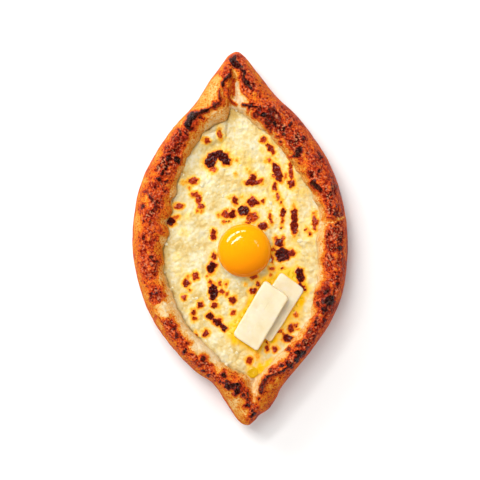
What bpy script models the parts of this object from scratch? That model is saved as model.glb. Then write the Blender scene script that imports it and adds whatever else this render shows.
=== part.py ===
"""Adjarian khachapuri: an open boat of bread with pinched tips, filled with baked cheese,
with an egg yolk and two pats of butter on top.

Run it with: blender --background --python part.py
Blender works in metres, +Z is up and +Y runs along the boat. The origin is on the table,
under the middle of the bread. Sizes below are in millimetres, and MM turns them to metres.

The bread is a loft. Three closed guide curves lie over each other in plan: the silhouette
where the bread is widest, the crest of its rim, and the inner edge where it meets the cheese.
Each is given by the few points that its shape needs, and a smooth curve runs through them.
"""

import math

import bmesh
import bpy
import numpy as np

MM = 0.001

# ---- driving dimensions, in mm ----
LENGTH = 280.0
WIDTH = 162.0
RIM_HEIGHT = 36.5
TIP_HEIGHT = 33.0
WIDEST_HEIGHT = 14.0  # the side bulges out most this high above the table
PROW_HEIGHT = 19.0  # the same at the tips, which lift like a prow
FOOT_SHARE = 0.905  # the flat underside's outline, as a share of the silhouette
FLOOR_HEIGHT = 8.0  # thickness of the bread under the cheese
FLOOR_SHARE = 0.84  # the floor's outline, as a share of the inner edge
CHEESE_LEVEL = 23.5
CHEESE_RELIEF = 0.7
GAP = 0.3  # pieces that touch keep this much air between them

YOLK_CENTRE = (3.0, -9.0)
YOLK_RADIUS = 19.8
YOLK_DOME = 10.5  # height of the yolk above its widest level
YOLK_BELLY = 7.5  # depth of the yolk below its widest level
YOLK_LEVEL = CHEESE_LEVEL + 4.6

PAT_LONG = 46.5
PAT_WIDE = 22.0
PAT_THICK = 5.0
PAT_CORNER = 2.6  # radius of an upright corner
PAT_EDGE = 0.8  # bevel round the faces
LOWER_PAT_TURN = math.radians(-122.5)  # the long side's direction, from +X
UPPER_PAT_TURN = math.radians(-120.3)
PAT_SKEW = math.radians(-4.0)  # the ends are cut a little off square
LOWER_PAT_CENTRE = (26.8, -51.3)
LOWER_PAT_SUNK = 2.2
UPPER_PAT_CENTRE = (15.6, -57.5)
UPPER_PAT_TILT = math.radians(5.5)
UPPER_PAT_RISES_TOWARDS = math.radians(32.0)
MOUND_CENTRE = (-1.6, -69.9)  # the cheese swells under the upper pat's low end
MOUND_HEIGHT = 2.0
MOUND_RADIUS = 10.0

# ---- guide curves, in mm, clockwise from the upper tip ----
SILHOUETTE = [
    (-3, 140), (3, 137), (12.5, 125.5), (27, 107), (41, 94), (55, 76.5), (69, 53), (78, 24),
    (81, -5), (78, -37), (69, -61), (53, -85), (33, -109), (27.5, -119), (22.5, -127),
    (19, -130), (14.5, -132.5), (11, -136.5), (5.5, -140), (-2, -136), (-12, -121), (-20.5, -109),
    (-37, -97), (-58, -73), (-71.5, -49), (-79.5, -20), (-81, 5), (-76.5, 35), (-66.5, 59),
    (-50.5, 83), (-35, 100), (-22.5, 119), (-13.5, 131), (-9, 137),
]
SILHOUETTE_TIP = 18  # index of the lower tip

CREST = [
    (-5, 131), (0, 126), (8, 113), (15, 100), (26, 89), (40, 74), (53, 56), (64, 34), (70, 8),
    (70.5, -18), (67, -42), (57, -64), (44, -83), (31, -98), (21, -103), (16.5, -110),
    (13, -119), (9.5, -127), (6.5, -121), (2, -114), (-8, -108), (-26, -95), (-43, -79),
    (-57, -56), (-66, -34), (-69.5, -8), (-68, 18), (-61, 45), (-51, 68), (-38, 86),
    (-24, 95.5), (-14.5, 103), (-12.5, 113), (-8.5, 123),
]
CREST_TIP = 17

INNER_EDGE = [
    (-7, 98), (5, 90), (18, 80.5), (29, 69.5), (41, 54), (51, 38), (57, 23), (58, 0),
    (58.3, -22), (55, -44), (46, -66), (30, -87), (18, -98.5), (9, -105.5), (-1, -100.5),
    (-13, -93.5), (-26, -78.5), (-39, -65.5), (-49, -46), (-56, -29), (-58, -10), (-53.5, 3),
    (-53.5, 13), (-50.5, 22), (-49.5, 32), (-46, 46), (-40, 58), (-31, 73), (-19, 85), (-11, 89),
]
INNER_TIP = 13

# A narrow tongue of dough lies pinched in the upper tip's groove.
TONGUE = [(-8, 123), (-8.5, 112), (-6.5, 104), (-3, 99.5)]
TONGUE_RISE = 3.0
TONGUE_RADIUS = 2.6

STATIONS_A_SIDE = 62
TIP_CROWDING = 0.45  # 0 spreads the stations evenly, 1 crowds them at the tips
INNER_LAG = 0.6  # how much slower the inner edge sets off from its tip than the silhouette
CURVE_STEPS = 24


def clear_scene():
    for obj in list(bpy.data.objects):
        bpy.data.objects.remove(obj)


def smooth_closed(points):
    """A closed Catmull-Rom curve through the points, CURVE_STEPS samples a span."""
    p = np.array(points, float)
    before, after, later = np.roll(p, 1, 0), np.roll(p, -1, 0), np.roll(p, -2, 0)
    t = (np.arange(CURVE_STEPS) / CURVE_STEPS)[:, None, None]
    curve = 0.5 * (
        2 * p
        + (after - before) * t
        + (2 * before - 5 * p + 4 * after - later) * t**2
        + (3 * p - before - 3 * after + later) * t**3
    )
    return curve.transpose(1, 0, 2).reshape(-1, 2)


def at_shares(line, shares):
    """Points at these shares of an open line's length."""
    run = np.concatenate([[0], np.cumsum(np.linalg.norm(np.diff(line, axis=0), axis=1))])
    where = shares * run[-1]
    return np.stack([np.interp(where, run, line[:, k]) for k in (0, 1)], axis=1)


def side_shares(lag=0.0):
    """Shares of a side's length, from tip to tip, for one side's stations."""
    t = np.arange(STATIONS_A_SIDE) / STATIONS_A_SIDE
    even = t - TIP_CROWDING * np.sin(2 * math.pi * t) / (2 * math.pi)
    return even - lag * np.sin(2 * math.pi * even) / (2 * math.pi)


def stations(points, lower_tip, lag=0.0):
    """One point of the guide curve for each station, right side first, then left."""
    curve = smooth_closed(points)
    turn = lower_tip * CURVE_STEPS
    right = curve[: turn + 1]
    left = np.vstack([curve[turn:], curve[:1]])
    shares = side_shares(lag)
    return np.vstack([at_shares(right, shares), at_shares(left, shares)])


def distance_to(line, xy):
    """Each point's distance to an open polyline."""
    nearest = np.full(len(xy), np.inf)
    for a, b in zip(np.array(line[:-1], float), np.array(line[1:], float)):
        along = np.clip((xy - a) @ (b - a) / ((b - a) @ (b - a)), 0, 1)
        nearest = np.minimum(nearest, np.linalg.norm(xy - (a + along[:, None] * (b - a)), axis=1))
    return nearest


def fitted_guides():
    """The three guides with the silhouette's box centred on the origin, at LENGTH by WIDTH."""
    outer = stations(SILHOUETTE, SILHOUETTE_TIP)
    low, high = outer.min(0), outer.max(0)
    centre, scale = (low + high) / 2, np.array([WIDTH, LENGTH]) / (high - low)
    crest = stations(CREST, CREST_TIP)
    inner = stations(INNER_EDGE, INNER_TIP, INNER_LAG)
    return [(guide - centre) * scale for guide in (outer, crest, inner)]


def tip_nearness():
    """1 at both tips, falling to 0 along the sides."""
    share = np.tile(side_shares(), 2)
    return np.exp(-((np.minimum(share, 1 - share) / 0.035) ** 2))


def rim_heights():
    """The crest's height at each station: it rolls gently, and drops at the tips."""
    round_trip = np.arange(2 * STATIONS_A_SIDE) / (2 * STATIONS_A_SIDE) * 2 * math.pi
    roll = 0.9 * np.sin(5 * round_trip + 0.6) + 0.7 * np.sin(9 * round_trip + 2.1)
    near = tip_nearness()
    return (RIM_HEIGHT + roll) * (1 - near) + TIP_HEIGHT * near


def ring(xy, z):
    """A closed ring of 3-D points."""
    return np.column_stack([xy, np.broadcast_to(z, len(xy))])


def bowl_rings(inner, edge_height):
    """The hollow's wall, from the floor up to the inner edge."""
    rings = []
    for angle in np.radians([0, 25, 50, 72, 90]):
        share = FLOOR_SHARE + (1 - FLOOR_SHARE) * math.sin(angle)
        rise = 1 - math.cos(angle)
        rings.append(ring(inner * share, FLOOR_HEIGHT + (edge_height - FLOOR_HEIGHT) * rise))
    return rings


def bread_rings():
    """The bread's surface as rings, from the floor of the hollow over the rim to the foot."""
    outer, crest, inner = fitted_guides()
    near = tip_nearness()
    top = rim_heights()
    widest = WIDEST_HEIGHT * (1 - near) + PROW_HEIGHT * near
    edge = np.full(len(near), CHEESE_LEVEL)
    rings = bowl_rings(inner, edge)
    for step in range(1, 7):
        angle = math.radians(90 * step / 6)
        across = 0.6 * (1 - math.cos(angle)) + 0.4 * step / 6
        rise = math.sin(angle) ** (0.9 + 1.6 * near)
        xy = inner + (crest - inner) * across
        tongue = TONGUE_RISE * np.exp(-((distance_to(TONGUE, xy) / TONGUE_RADIUS) ** 2))
        rings.append(ring(xy, edge + (top - edge) * rise + tongue * math.sin(2 * angle)))
    for step in range(1, 6):
        angle = math.radians(90 * step / 5)
        xy = crest + (outer - crest) * math.sin(angle)
        rings.append(ring(xy, widest + (top - widest) * math.cos(angle)))
    for angle in np.radians([28, 55, 76, 90]):
        share = 1 - (1 - FOOT_SHARE) * (1 - math.cos(angle))
        rings.append(ring(outer * share, widest * (1 - math.sin(angle))))
    return rings


def cheese_height(xy):
    """The cheese's top: low waves, and the mound that props the upper pat."""
    x, y = xy[:, 0], xy[:, 1]
    waves = np.sin(x / 9.0 + 0.8) * np.cos(y / 11.0) + 0.6 * np.sin((x + y) / 6.5)
    mound = MOUND_HEIGHT * np.exp(-((xy - MOUND_CENTRE) ** 2).sum(1) / MOUND_RADIUS**2)
    return CHEESE_LEVEL + CHEESE_RELIEF * waves + mound


def cheese_rings():
    """The cheese's surface as rings, from its underside up its side and in over its top."""
    _, _, inner = fitted_guides()
    reach = np.linalg.norm(inner, axis=1, keepdims=True)
    inner = inner * (1 - GAP * 1.6 / reach)
    edge = np.full(len(inner), CHEESE_LEVEL - 1.0)
    rings = bowl_rings(inner, edge)
    rings = [r + [0, 0, GAP] for r in rings]
    for share in (0.97, 0.9, 0.78, 0.62, 0.44, 0.24):
        xy = inner * share
        rings.append(ring(xy, cheese_height(xy) - 0.7 * (share > 0.95)))
    return rings


def lofted(name, rings):
    """An object whose surface joins the rings in order, with a flat cap on the first and last."""
    mesh = bpy.data.meshes.new(name)
    build = bmesh.new()
    loops = [[build.verts.new(point * MM) for point in r] for r in rings]
    for lower, upper in zip(loops, loops[1:]):
        for k, vertex in enumerate(lower):
            after = (k + 1) % len(lower)
            build.faces.new((vertex, lower[after], upper[after], upper[k]))
    for loop in (loops[0], loops[-1]):
        bmesh.ops.triangulate(build, faces=[build.faces.new(loop)])
    bmesh.ops.recalc_face_normals(build, faces=build.faces)
    build.to_mesh(mesh)
    build.free()
    mesh.shade_smooth()
    mesh.set_sharp_from_angle(angle=math.radians(50))
    obj = bpy.data.objects.new(name, mesh)
    bpy.context.scene.collection.objects.link(obj)
    return obj


def yolk_shape(name, grow=0.0):
    """A flattened ball: the upper half domes higher than the belly hangs."""
    mesh = bpy.data.meshes.new(name)
    build = bmesh.new()
    bmesh.ops.create_uvsphere(build, u_segments=32, v_segments=16, radius=1.0)
    for vertex in build.verts:
        depth = YOLK_DOME if vertex.co.z > 0 else YOLK_BELLY
        vertex.co.x *= (YOLK_RADIUS + grow) * MM
        vertex.co.y *= (YOLK_RADIUS + grow) * MM
        vertex.co.z *= (depth + grow) * MM
    build.to_mesh(mesh)
    build.free()
    mesh.shade_smooth()
    obj = bpy.data.objects.new(name, mesh)
    obj.location = (YOLK_CENTRE[0] * MM, YOLK_CENTRE[1] * MM, YOLK_LEVEL * MM)
    bpy.context.scene.collection.objects.link(obj)
    return obj


def pat_shape(name, thickness, grow=0.0):
    """A slab of butter: a skewed rectangle with rounded corners, bevelled top and bottom."""
    half_long, half_wide = PAT_LONG / 2 + grow, PAT_WIDE / 2 + grow
    outline = []
    for corner in range(4):
        sign_x = (1, -1, -1, 1)[corner]
        sign_y = (1, 1, -1, -1)[corner]
        for step in range(5):
            angle = math.radians(90 * corner + 22.5 * step)
            x = sign_x * (half_long - PAT_CORNER) + PAT_CORNER * math.cos(angle)
            y = sign_y * (half_wide - PAT_CORNER) + PAT_CORNER * math.sin(angle)
            outline.append((x - y * math.tan(PAT_SKEW), y))
    mesh = bpy.data.meshes.new(name)
    build = bmesh.new()
    low = [build.verts.new((x * MM, y * MM, -(thickness / 2 + grow) * MM)) for x, y in outline]
    face = build.faces.new(low)
    made = bmesh.ops.extrude_face_region(build, geom=[face])["geom"]
    top = [v for v in made if isinstance(v, bmesh.types.BMVert)]
    bmesh.ops.translate(build, verts=top, vec=(0, 0, (thickness + 2 * grow) * MM))
    bmesh.ops.recalc_face_normals(build, faces=build.faces)
    rims = [e for e in build.edges if abs(e.verts[0].co.z - e.verts[1].co.z) < PAT_EDGE * MM]
    bmesh.ops.bevel(build, geom=rims, offset=PAT_EDGE * MM, segments=2, affect="EDGES")
    build.to_mesh(mesh)
    build.free()
    mesh.shade_smooth()
    mesh.set_sharp_from_angle(angle=math.radians(50))
    obj = bpy.data.objects.new(name, mesh)
    bpy.context.scene.collection.objects.link(obj)
    return obj


def lower_pat(name, grow=0.0):
    obj = pat_shape(name, PAT_THICK, grow)
    middle = CHEESE_LEVEL - LOWER_PAT_SUNK + PAT_THICK / 2
    obj.location = (LOWER_PAT_CENTRE[0] * MM, LOWER_PAT_CENTRE[1] * MM, middle * MM)
    obj.rotation_euler = (0, 0, LOWER_PAT_TURN)
    return obj


def upper_pat(name, grow=0.0):
    """Lies on the lower pat, tilted about a level line so that it rises towards one corner."""
    obj = pat_shape(name, PAT_THICK, grow)
    rise = np.array([math.cos(UPPER_PAT_RISES_TOWARDS), math.sin(UPPER_PAT_RISES_TOWARDS)])
    rest = CHEESE_LEVEL - LOWER_PAT_SUNK + PAT_THICK + GAP
    # The lower pat's nearest corner carries it, this far down the slope from its middle.
    across = np.array([math.cos(LOWER_PAT_TURN), math.sin(LOWER_PAT_TURN)]) * PAT_LONG / 2
    beside = np.array([-math.sin(LOWER_PAT_TURN), math.cos(LOWER_PAT_TURN)]) * PAT_WIDE / 2
    corner = min(
        (np.array(LOWER_PAT_CENTRE) + a * across + b * beside for a in (1, -1) for b in (1, -1)),
        key=lambda point: point @ rise,
    )
    lift = (np.array(UPPER_PAT_CENTRE) - corner) @ rise * math.tan(UPPER_PAT_TILT)
    middle = rest + lift + PAT_THICK / 2 / math.cos(UPPER_PAT_TILT)
    obj.location = (UPPER_PAT_CENTRE[0] * MM, UPPER_PAT_CENTRE[1] * MM, middle * MM)
    tilt = math.radians(90) + UPPER_PAT_RISES_TOWARDS
    turn = bpy.data.objects.new(name + "_tilt", None)
    bpy.context.scene.collection.objects.link(turn)
    turn.location = obj.location
    turn.rotation_mode = "AXIS_ANGLE"
    turn.rotation_axis_angle = (-UPPER_PAT_TILT, math.cos(tilt), math.sin(tilt), 0)
    obj.location = (0, 0, 0)
    obj.rotation_euler = (0, 0, UPPER_PAT_TURN)
    obj.parent = turn
    return obj


def cut(obj, cutter):
    """Takes the cutter out of the object, and hides it."""
    cutter.hide_render = True
    cutter.display_type = "WIRE"
    boolean = obj.modifiers.new("room for " + cutter.name, "BOOLEAN")
    boolean.operation = "DIFFERENCE"
    boolean.object = cutter


def painted(obj, name, colour, roughness, subsurface=0.0):
    """A Principled material: colour is linear, and food carries no metal."""
    material = bpy.data.materials.new(name)
    material.use_nodes = True
    shader = material.node_tree.nodes["Principled BSDF"]
    shader.inputs["Base Color"].default_value = (*colour, 1)
    shader.inputs["Roughness"].default_value = roughness
    shader.inputs["Metallic"].default_value = 0
    shader.inputs["Subsurface Weight"].default_value = subsurface
    obj.data.materials.append(material)


def main():
    clear_scene()
    bread = lofted("bread_boat", bread_rings())
    painted(bread, "baked wheat crust", (0.62, 0.20, 0.05), 0.6)

    cheese = lofted("cheese_filling", cheese_rings())
    painted(cheese, "baked sulguni cheese", (0.90, 0.76, 0.48), 0.5, 0.1)

    yolk = yolk_shape("egg_yolk")
    painted(yolk, "raw egg yolk", (0.95, 0.42, 0.01), 0.1, 0.3)
    cut(cheese, yolk_shape("yolk_room", GAP))

    for make, name in ((lower_pat, "butter_pat_lower"), (upper_pat, "butter_pat_upper")):
        painted(make(name), "sliced butter", (0.93, 0.78, 0.44), 0.4, 0.2)
        cut(cheese, make(name + "_room", GAP))


main()
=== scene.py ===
# %% [markdown]
# # Adjarian khachapuri
# An Adjarian khachapuri is a boat of leavened bread. Its two long sides are rolled up into a rim,
# the ends are pinched to points, and the hollow is filled with salty white cheese. It bakes very
# hot, so the rim blisters and chars in patches. A raw yolk and slices of cold butter go on last.
#
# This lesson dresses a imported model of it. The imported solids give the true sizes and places.
# Everything below works in millimetres, and turns them to metres where Blender takes over. Only
# the lights, the table and a node tree's own default sizes are given in metres.

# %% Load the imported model
import math
from functools import partial

import bmesh
import bpy
import numpy as np
from mathutils import Matrix, Vector, noise


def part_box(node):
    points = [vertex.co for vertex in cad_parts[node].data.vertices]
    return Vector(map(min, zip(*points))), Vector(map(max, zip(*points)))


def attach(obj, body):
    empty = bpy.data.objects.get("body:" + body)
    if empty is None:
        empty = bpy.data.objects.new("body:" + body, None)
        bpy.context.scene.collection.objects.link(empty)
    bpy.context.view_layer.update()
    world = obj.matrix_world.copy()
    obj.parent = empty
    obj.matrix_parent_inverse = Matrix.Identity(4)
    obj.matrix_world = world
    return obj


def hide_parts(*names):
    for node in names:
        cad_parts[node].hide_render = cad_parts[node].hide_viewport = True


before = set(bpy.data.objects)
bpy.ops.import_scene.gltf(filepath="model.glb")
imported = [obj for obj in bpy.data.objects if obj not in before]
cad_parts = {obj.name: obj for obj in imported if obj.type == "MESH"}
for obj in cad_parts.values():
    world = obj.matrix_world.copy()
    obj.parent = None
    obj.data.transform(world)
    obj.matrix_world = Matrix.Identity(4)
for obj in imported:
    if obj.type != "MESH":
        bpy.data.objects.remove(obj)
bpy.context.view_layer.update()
MM = 0.001
noise.seed_set(7)  # Blender seeds its vector noise from the clock, so every run would differ
print("nodes:", ", ".join(sorted(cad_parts)))

# %% [markdown]
# ## Small tools
# A colour is given here as an sRGB hex value, while Blender's shaders work in linear light, so one
# function turns the first into the second. Another adds any node to any tree with its settings and
# its links, which keeps a material down to one line for each step. Each new tree comes with that
# function already bound to it, under the name add. The sockets of a node that is there already,
# such as a material's shader, are set by feed.


# %% Colour and node helpers
def linear(hex_colour):
    """An sRGB colour such as "F2C173" as linear red, green, blue and alpha."""
    parts = [int(hex_colour[k : k + 2], 16) / 255 for k in (0, 2, 4)]
    return tuple(c / 12.92 if c <= 0.04045 else ((c + 0.055) / 1.055) ** 2.4 for c in parts) + (1.0,)


def feed(node, sockets):
    """Sets a node's sockets, by name or number, to a value, or to a node or output that feeds them."""
    for socket, value in sockets.items():
        if isinstance(value, bpy.types.Node):
            value = next(output for output in value.outputs if output.enabled)
        if isinstance(value, bpy.types.NodeSocket):
            node.id_data.links.new(value, node.inputs[socket])
        else:
            node.inputs[socket].default_value = value


def add_node(tree, kind, *values, sockets=None, stops=None, **settings):
    """Adds a node to the tree. The values feed the sockets it shows, in their order, and sockets
    feeds others as above. stops are a colour ramp's places and hex colours."""
    made = tree.nodes.new(kind)
    for name, value in settings.items():
        setattr(made, name, value)
    shown = [number for number, socket in enumerate(made.inputs) if socket.enabled]
    feed(made, dict(zip(shown, values)))
    feed(made, sockets or {})
    if stops:
        elements = made.color_ramp.elements
        while len(elements) < len(stops):
            elements.new(0.5)
        for element, (place, colour) in zip(elements, sorted(stops)):
            element.position, element.color = place, linear(colour)
    return made


def noise_level(add, place, size, detail=3.0):
    """Noise with features of this size in mm, as a node whose value swings about 0."""
    field = add("ShaderNodeTexNoise",
                sockets={"Vector": place, "Scale": 1 / (size * MM), "Detail": detail})
    return add("ShaderNodeMath", field, 0.5, operation="SUBTRACT")


def new_material(name):
    """A Principled material: the material, its shader, and what adds a node to its tree."""
    material = bpy.data.materials.new(name)
    material.use_nodes = True
    tree = material.node_tree
    return material, tree.nodes["Principled BSDF"], partial(add_node, tree)


def new_object(name, data):
    """A new object in the scene."""
    made = bpy.data.objects.new(name, data)
    bpy.context.scene.collection.objects.link(made)
    return made


print("F2C173 in linear light: %.3f, %.3f, %.3f" % linear("F2C173")[:3])

# %% [markdown]
# ## Camera, table and light
# Food like this is shown from straight above, so that its outline reads as a boat. A long lens far
# away keeps the high rim from hiding the cheese. The light is a row of long windows low on the
# upper left, which rakes over the crust and picks out its blisters, and soft fills lighten the
# shadows. A yolk is a wet dome that mirrors whatever stands round it. The windows show in it as
# bright arcs, so their angles are worked out from its slope, and the fills are kept out of it.

# %% Camera
VIEW_WIDTH = 360.0  # what the frame spans, at VIEW_LEVEL above the table
VIEW_LEVEL = 19.0
VIEW_CENTRE = -1.1  # along the boat
LENS = 150.0  # both in mm
SENSOR = 36.0

camera_data = bpy.data.cameras.new("camera")
camera_data.lens, camera_data.sensor_width = LENS, SENSOR
camera = new_object("camera", camera_data)
camera.location = Vector((0, VIEW_CENTRE, VIEW_LEVEL + VIEW_WIDTH * LENS / SENSOR)) * MM
bpy.context.scene.camera = camera
print("camera height: %.2f m" % camera.location.z)


# %% Table, surroundings and lights
LIGHT_DISTANCE = 1.5  # m
ROOM_LIGHT = 0.06


def soft_light(name, azimuth, from_above, size, power, mirrored):
    """A rectangular light that faces the bread. Azimuth 0 is along +X, and both angles are
    degrees. mirrored says whether it shows in wet surfaces."""
    data = bpy.data.lights.new(name, "AREA")
    data.shape = "RECTANGLE"
    data.size, data.size_y = size
    data.energy = power
    light = new_object(name, data)
    turn, tilt = math.radians(azimuth), math.radians(from_above)
    out = Vector((math.cos(turn) * math.sin(tilt), math.sin(turn) * math.sin(tilt), math.cos(tilt)))
    light.location = out * LIGHT_DISTANCE
    light.rotation_euler = (tilt, 0, turn + math.pi / 2)
    light.visible_glossy = mirrored


WINDOWS = [  # azimuth, angle from above, length and width in m, power in W
    (137, 57, 0.75, 0.26, 8.6), (110, 58.5, 0.27, 0.24, 3.1), (93, 57.5, 0.31, 0.24, 2.0),
    (128, 34, 0.80, 0.15, 6.5), (37, 36.5, 0.22, 0.18, 0.4), (19, 37, 0.2, 0.1, 0.2),
]
FILLS = [  # name, azimuth, angle from above, size in m, power in W
    ("fill_above", 120, 20, 0.6, 9.2), ("fill_right", -15, 50, 1.0, 6.6),
    ("fill_below", -110, 50, 1.0, 5.4), ("fill_left", 190, 55, 1.0, 3.0),
]
for number, (azimuth, from_above, length, width, power) in enumerate(WINDOWS):
    soft_light("window_%d" % number, azimuth, from_above, (length, width), power, True)
for name, azimuth, from_above, size, power in FILLS:
    soft_light(name, azimuth, from_above, (size, size), power, False)

world = bpy.data.worlds.new("pale room")
world.use_nodes = True
feed(world.node_tree.nodes["Background"], {"Color": linear("FFFFFF"), "Strength": ROOM_LIGHT})
bpy.context.scene.world = world
bpy.context.scene.view_settings.view_transform = "Standard"

table_mesh = bpy.data.meshes.new("table")
corners = [(-3, -3, 0), (3, -3, 0), (3, 3, 0), (-3, 3, 0)]  # m
table_mesh.from_pydata(corners, [], [(0, 1, 2, 3)])
table = new_object("table", table_mesh)
# White laminate, pressed matt: to the eye a pale plane with almost no shine
laminate, laminate_shader, _ = new_material("matt white laminate")
feed(laminate_shader, {"Base Color": linear("FBFAF8"), "Roughness": 0.9})
table_mesh.materials.append(laminate)
print("lights: %d windows, %d fills" % (len(WINDOWS), len(FILLS)))

# %% [markdown]
# ## The bread's outline
# Three closed curves seen from above carry the whole shape: the silhouette, the crest of the rim,
# and the inner edge where bread meets cheese. Each has only the points that its shape needs, and a
# Catmull-Rom curve runs through them. Points are then dealt out along each curve, more closely at
# the tips, so that point 100 of one curve lies across the rim from point 100 of the next. The inner
# edge has more points than the others, because the cheese pushed it about as it bubbled.

# %% Guide curves
SILHOUETTE = [
    (-3, 140), (3, 137), (12.5, 125.5), (27, 107), (41, 94), (55, 76.5), (69, 53), (78, 24),
    (81, -5), (78, -37), (69, -61), (53, -85), (33, -109), (27.5, -119), (22.5, -127),
    (19, -130), (14.5, -132.5), (11, -136.5), (5.5, -140), (-2, -136), (-12, -121), (-20.5, -109),
    (-37, -97), (-58, -73), (-71.5, -49), (-79.5, -20), (-81, 5), (-76.5, 35), (-66.5, 59),
    (-50.5, 83), (-35, 100), (-22.5, 119), (-13.5, 131), (-9, 137),
]
SILHOUETTE_TIP = 18  # index of the lower tip

CREST = [
    (-5, 131), (0, 126), (8, 113), (15, 100), (26, 89), (40, 74), (53, 56), (64, 34), (70, 8),
    (70.5, -18), (67, -42), (57, -64), (44, -83), (31, -98), (21, -103), (16.5, -110),
    (13, -119), (9.5, -127), (6.5, -121), (2, -114), (-8, -108), (-26, -95), (-43, -79),
    (-57, -56), (-66, -34), (-69.5, -8), (-68, 18), (-61, 45), (-51, 68), (-38, 86),
    (-24, 95.5), (-14.5, 103), (-12.5, 113), (-8.5, 123),
]
CREST_TIP = 17

INNER_EDGE = [
    (-7, 98), (-2, 95), (5, 90), (14, 82), (20, 78.5), (27, 71), (35, 61), (40, 55), (46, 46),
    (50, 39), (55.5, 28.5), (59, 20), (59, 10), (57, 0), (58, -16), (58.5, -24), (56, -37),
    (53.5, -48), (52, -58), (46.5, -67), (35, -80), (25, -91), (15, -101), (9, -105.5),
    (3, -102), (-5, -97.5), (-15, -91), (-25, -79.5), (-36, -70), (-43.5, -59), (-48.5, -47),
    (-53, -36), (-57.5, -25), (-57, -18), (-58, -8), (-54, -1), (-53.5, 8), (-55, 13), (-50, 20),
    (-50.5, 28), (-48, 34), (-47, 43), (-43, 50), (-40, 58), (-36, 66), (-30.5, 73), (-28, 77.5),
    (-19, 85), (-11.5, 88.5), (-9, 92),
]
INNER_TIP = 23
print("guide points:", len(SILHOUETTE), len(CREST), len(INNER_EDGE))

# %% Stations along the curves
STATIONS_A_SIDE = 480
CURVE_STEPS = 24
TIP_CROWDING = 0.45  # 0 spreads the stations evenly, 1 crowds them at the tips
INNER_LAG = 0.6  # how much slower the inner edge sets off from its tip than the silhouette


def smooth_closed(points):
    """A closed Catmull-Rom curve through the points, CURVE_STEPS samples a span."""
    p = np.array(points, float)
    before, after, later = np.roll(p, 1, 0), np.roll(p, -1, 0), np.roll(p, -2, 0)
    t = (np.arange(CURVE_STEPS) / CURVE_STEPS)[:, None, None]
    curve = 0.5 * (
        2 * p
        + (after - before) * t
        + (2 * before - 5 * p + 4 * after - later) * t**2
        + (3 * p - before - 3 * after + later) * t**3
    )
    return curve.transpose(1, 0, 2).reshape(-1, 2)


def side_shares(lag=0.0):
    """Shares of a side's length, from tip to tip, for one side's stations."""
    t = np.arange(STATIONS_A_SIDE) / STATIONS_A_SIDE
    even = t - TIP_CROWDING * np.sin(2 * math.pi * t) / (2 * math.pi)
    return even - lag * np.sin(2 * math.pi * even) / (2 * math.pi)


def at_shares(line, shares):
    """Points at these shares of an open line's length."""
    run = np.concatenate([[0], np.cumsum(np.linalg.norm(np.diff(line, axis=0), axis=1))])
    return np.stack([np.interp(shares * run[-1], run, line[:, k]) for k in (0, 1)], axis=1)


def stations(points, lower_tip, lag=0.0):
    """One point of the guide curve for each station: down the right side, then up the left."""
    curve = smooth_closed(points)
    turn = lower_tip * CURVE_STEPS
    right, left = curve[: turn + 1], np.vstack([curve[turn:], curve[:1]])
    return np.vstack([at_shares(side, side_shares(lag)) for side in (right, left)])


bread_low, bread_high = (np.array(corner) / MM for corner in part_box("bread_boat"))
outer = stations(SILHOUETTE, SILHOUETTE_TIP)
guide_low, guide_high = outer.min(0), outer.max(0)
guide_scale = (bread_high - bread_low)[:2] / (guide_high - guide_low)
guide_shift = (bread_high + bread_low)[:2] / 2 - (guide_low + guide_high) / 2 * guide_scale
outer = outer * guide_scale + guide_shift
crest = stations(CREST, CREST_TIP) * guide_scale + guide_shift
inner = stations(INNER_EDGE, INNER_TIP, INNER_LAG) * guide_scale + guide_shift
for size, reach in ((7.0, 1.3), (2.6, 0.7)):
    wander = [noise.noise_vector(Vector((px / size, py / size, size)))[:2] for px, py in inner]
    inner = inner + reach * np.array(wander)
print("bread: %.1f x %.1f mm, %d stations" % (*(outer.max(0) - outer.min(0)), len(outer)))

# %% [markdown]
# ## The bread's body
# Rolled dough has a rounded rim: it rises steeply from the cheese, turns over at the crest, bulges
# out over its foot and tucks under. That is a loft. Each ring below is one closed curve, mixed from
# two guides, at one height. A grid of rings costs few faces where it is hidden and many where the
# light catches the top, and it lets every later step ask a vertex how far over the rim it lies.

# %% Loft the bread
RIM_HEIGHT = 36.5  # of the crest, above the table
TIP_HEIGHT = 33.0  # of the crest at the tips
WIDEST_HEIGHT = 14.0  # where the side bulges out most
PROW_HEIGHT = 19.0  # the same at the tips
FOOT_SHARE = 0.905  # the foot's outline, as a share of the silhouette
FLOOR_HEIGHT = 8.0  # of the hollow's floor
FLOOR_SHARE = 0.84  # the floor's outline, as a share of the inner edge
CHEESE_LEVEL = 23.5
TIP_REACH = 0.035  # how far a tip's own heights reach, as a share of a side's length

WALL_RINGS = 50  # inner edge to crest
SIDE_RINGS = 34  # crest to silhouette
TUCK_RINGS = 10  # silhouette to foot

share = np.tile(side_shares(), 2)
near_tip = np.exp(-((np.minimum(share, 1 - share) / TIP_REACH) ** 2))
turn = np.arange(len(share)) / len(share) * 2 * math.pi
roll = 0.9 * np.sin(5 * turn + 0.6) + 0.7 * np.sin(9 * turn + 2.1)
crest_height = (RIM_HEIGHT + roll) * (1 - near_tip) + TIP_HEIGHT * near_tip
widest = WIDEST_HEIGHT * (1 - near_tip) + PROW_HEIGHT * near_tip


def ring(xy, z, over):
    """A closed ring of points: x, y, z and how far over the rim it lies.
    0 is the inner edge, 1 the crest, 2 the silhouette, 3 the foot and 4 the middle underneath."""
    return np.column_stack([xy, np.broadcast_to(z, len(xy)), np.full(len(xy), float(over))])


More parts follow.
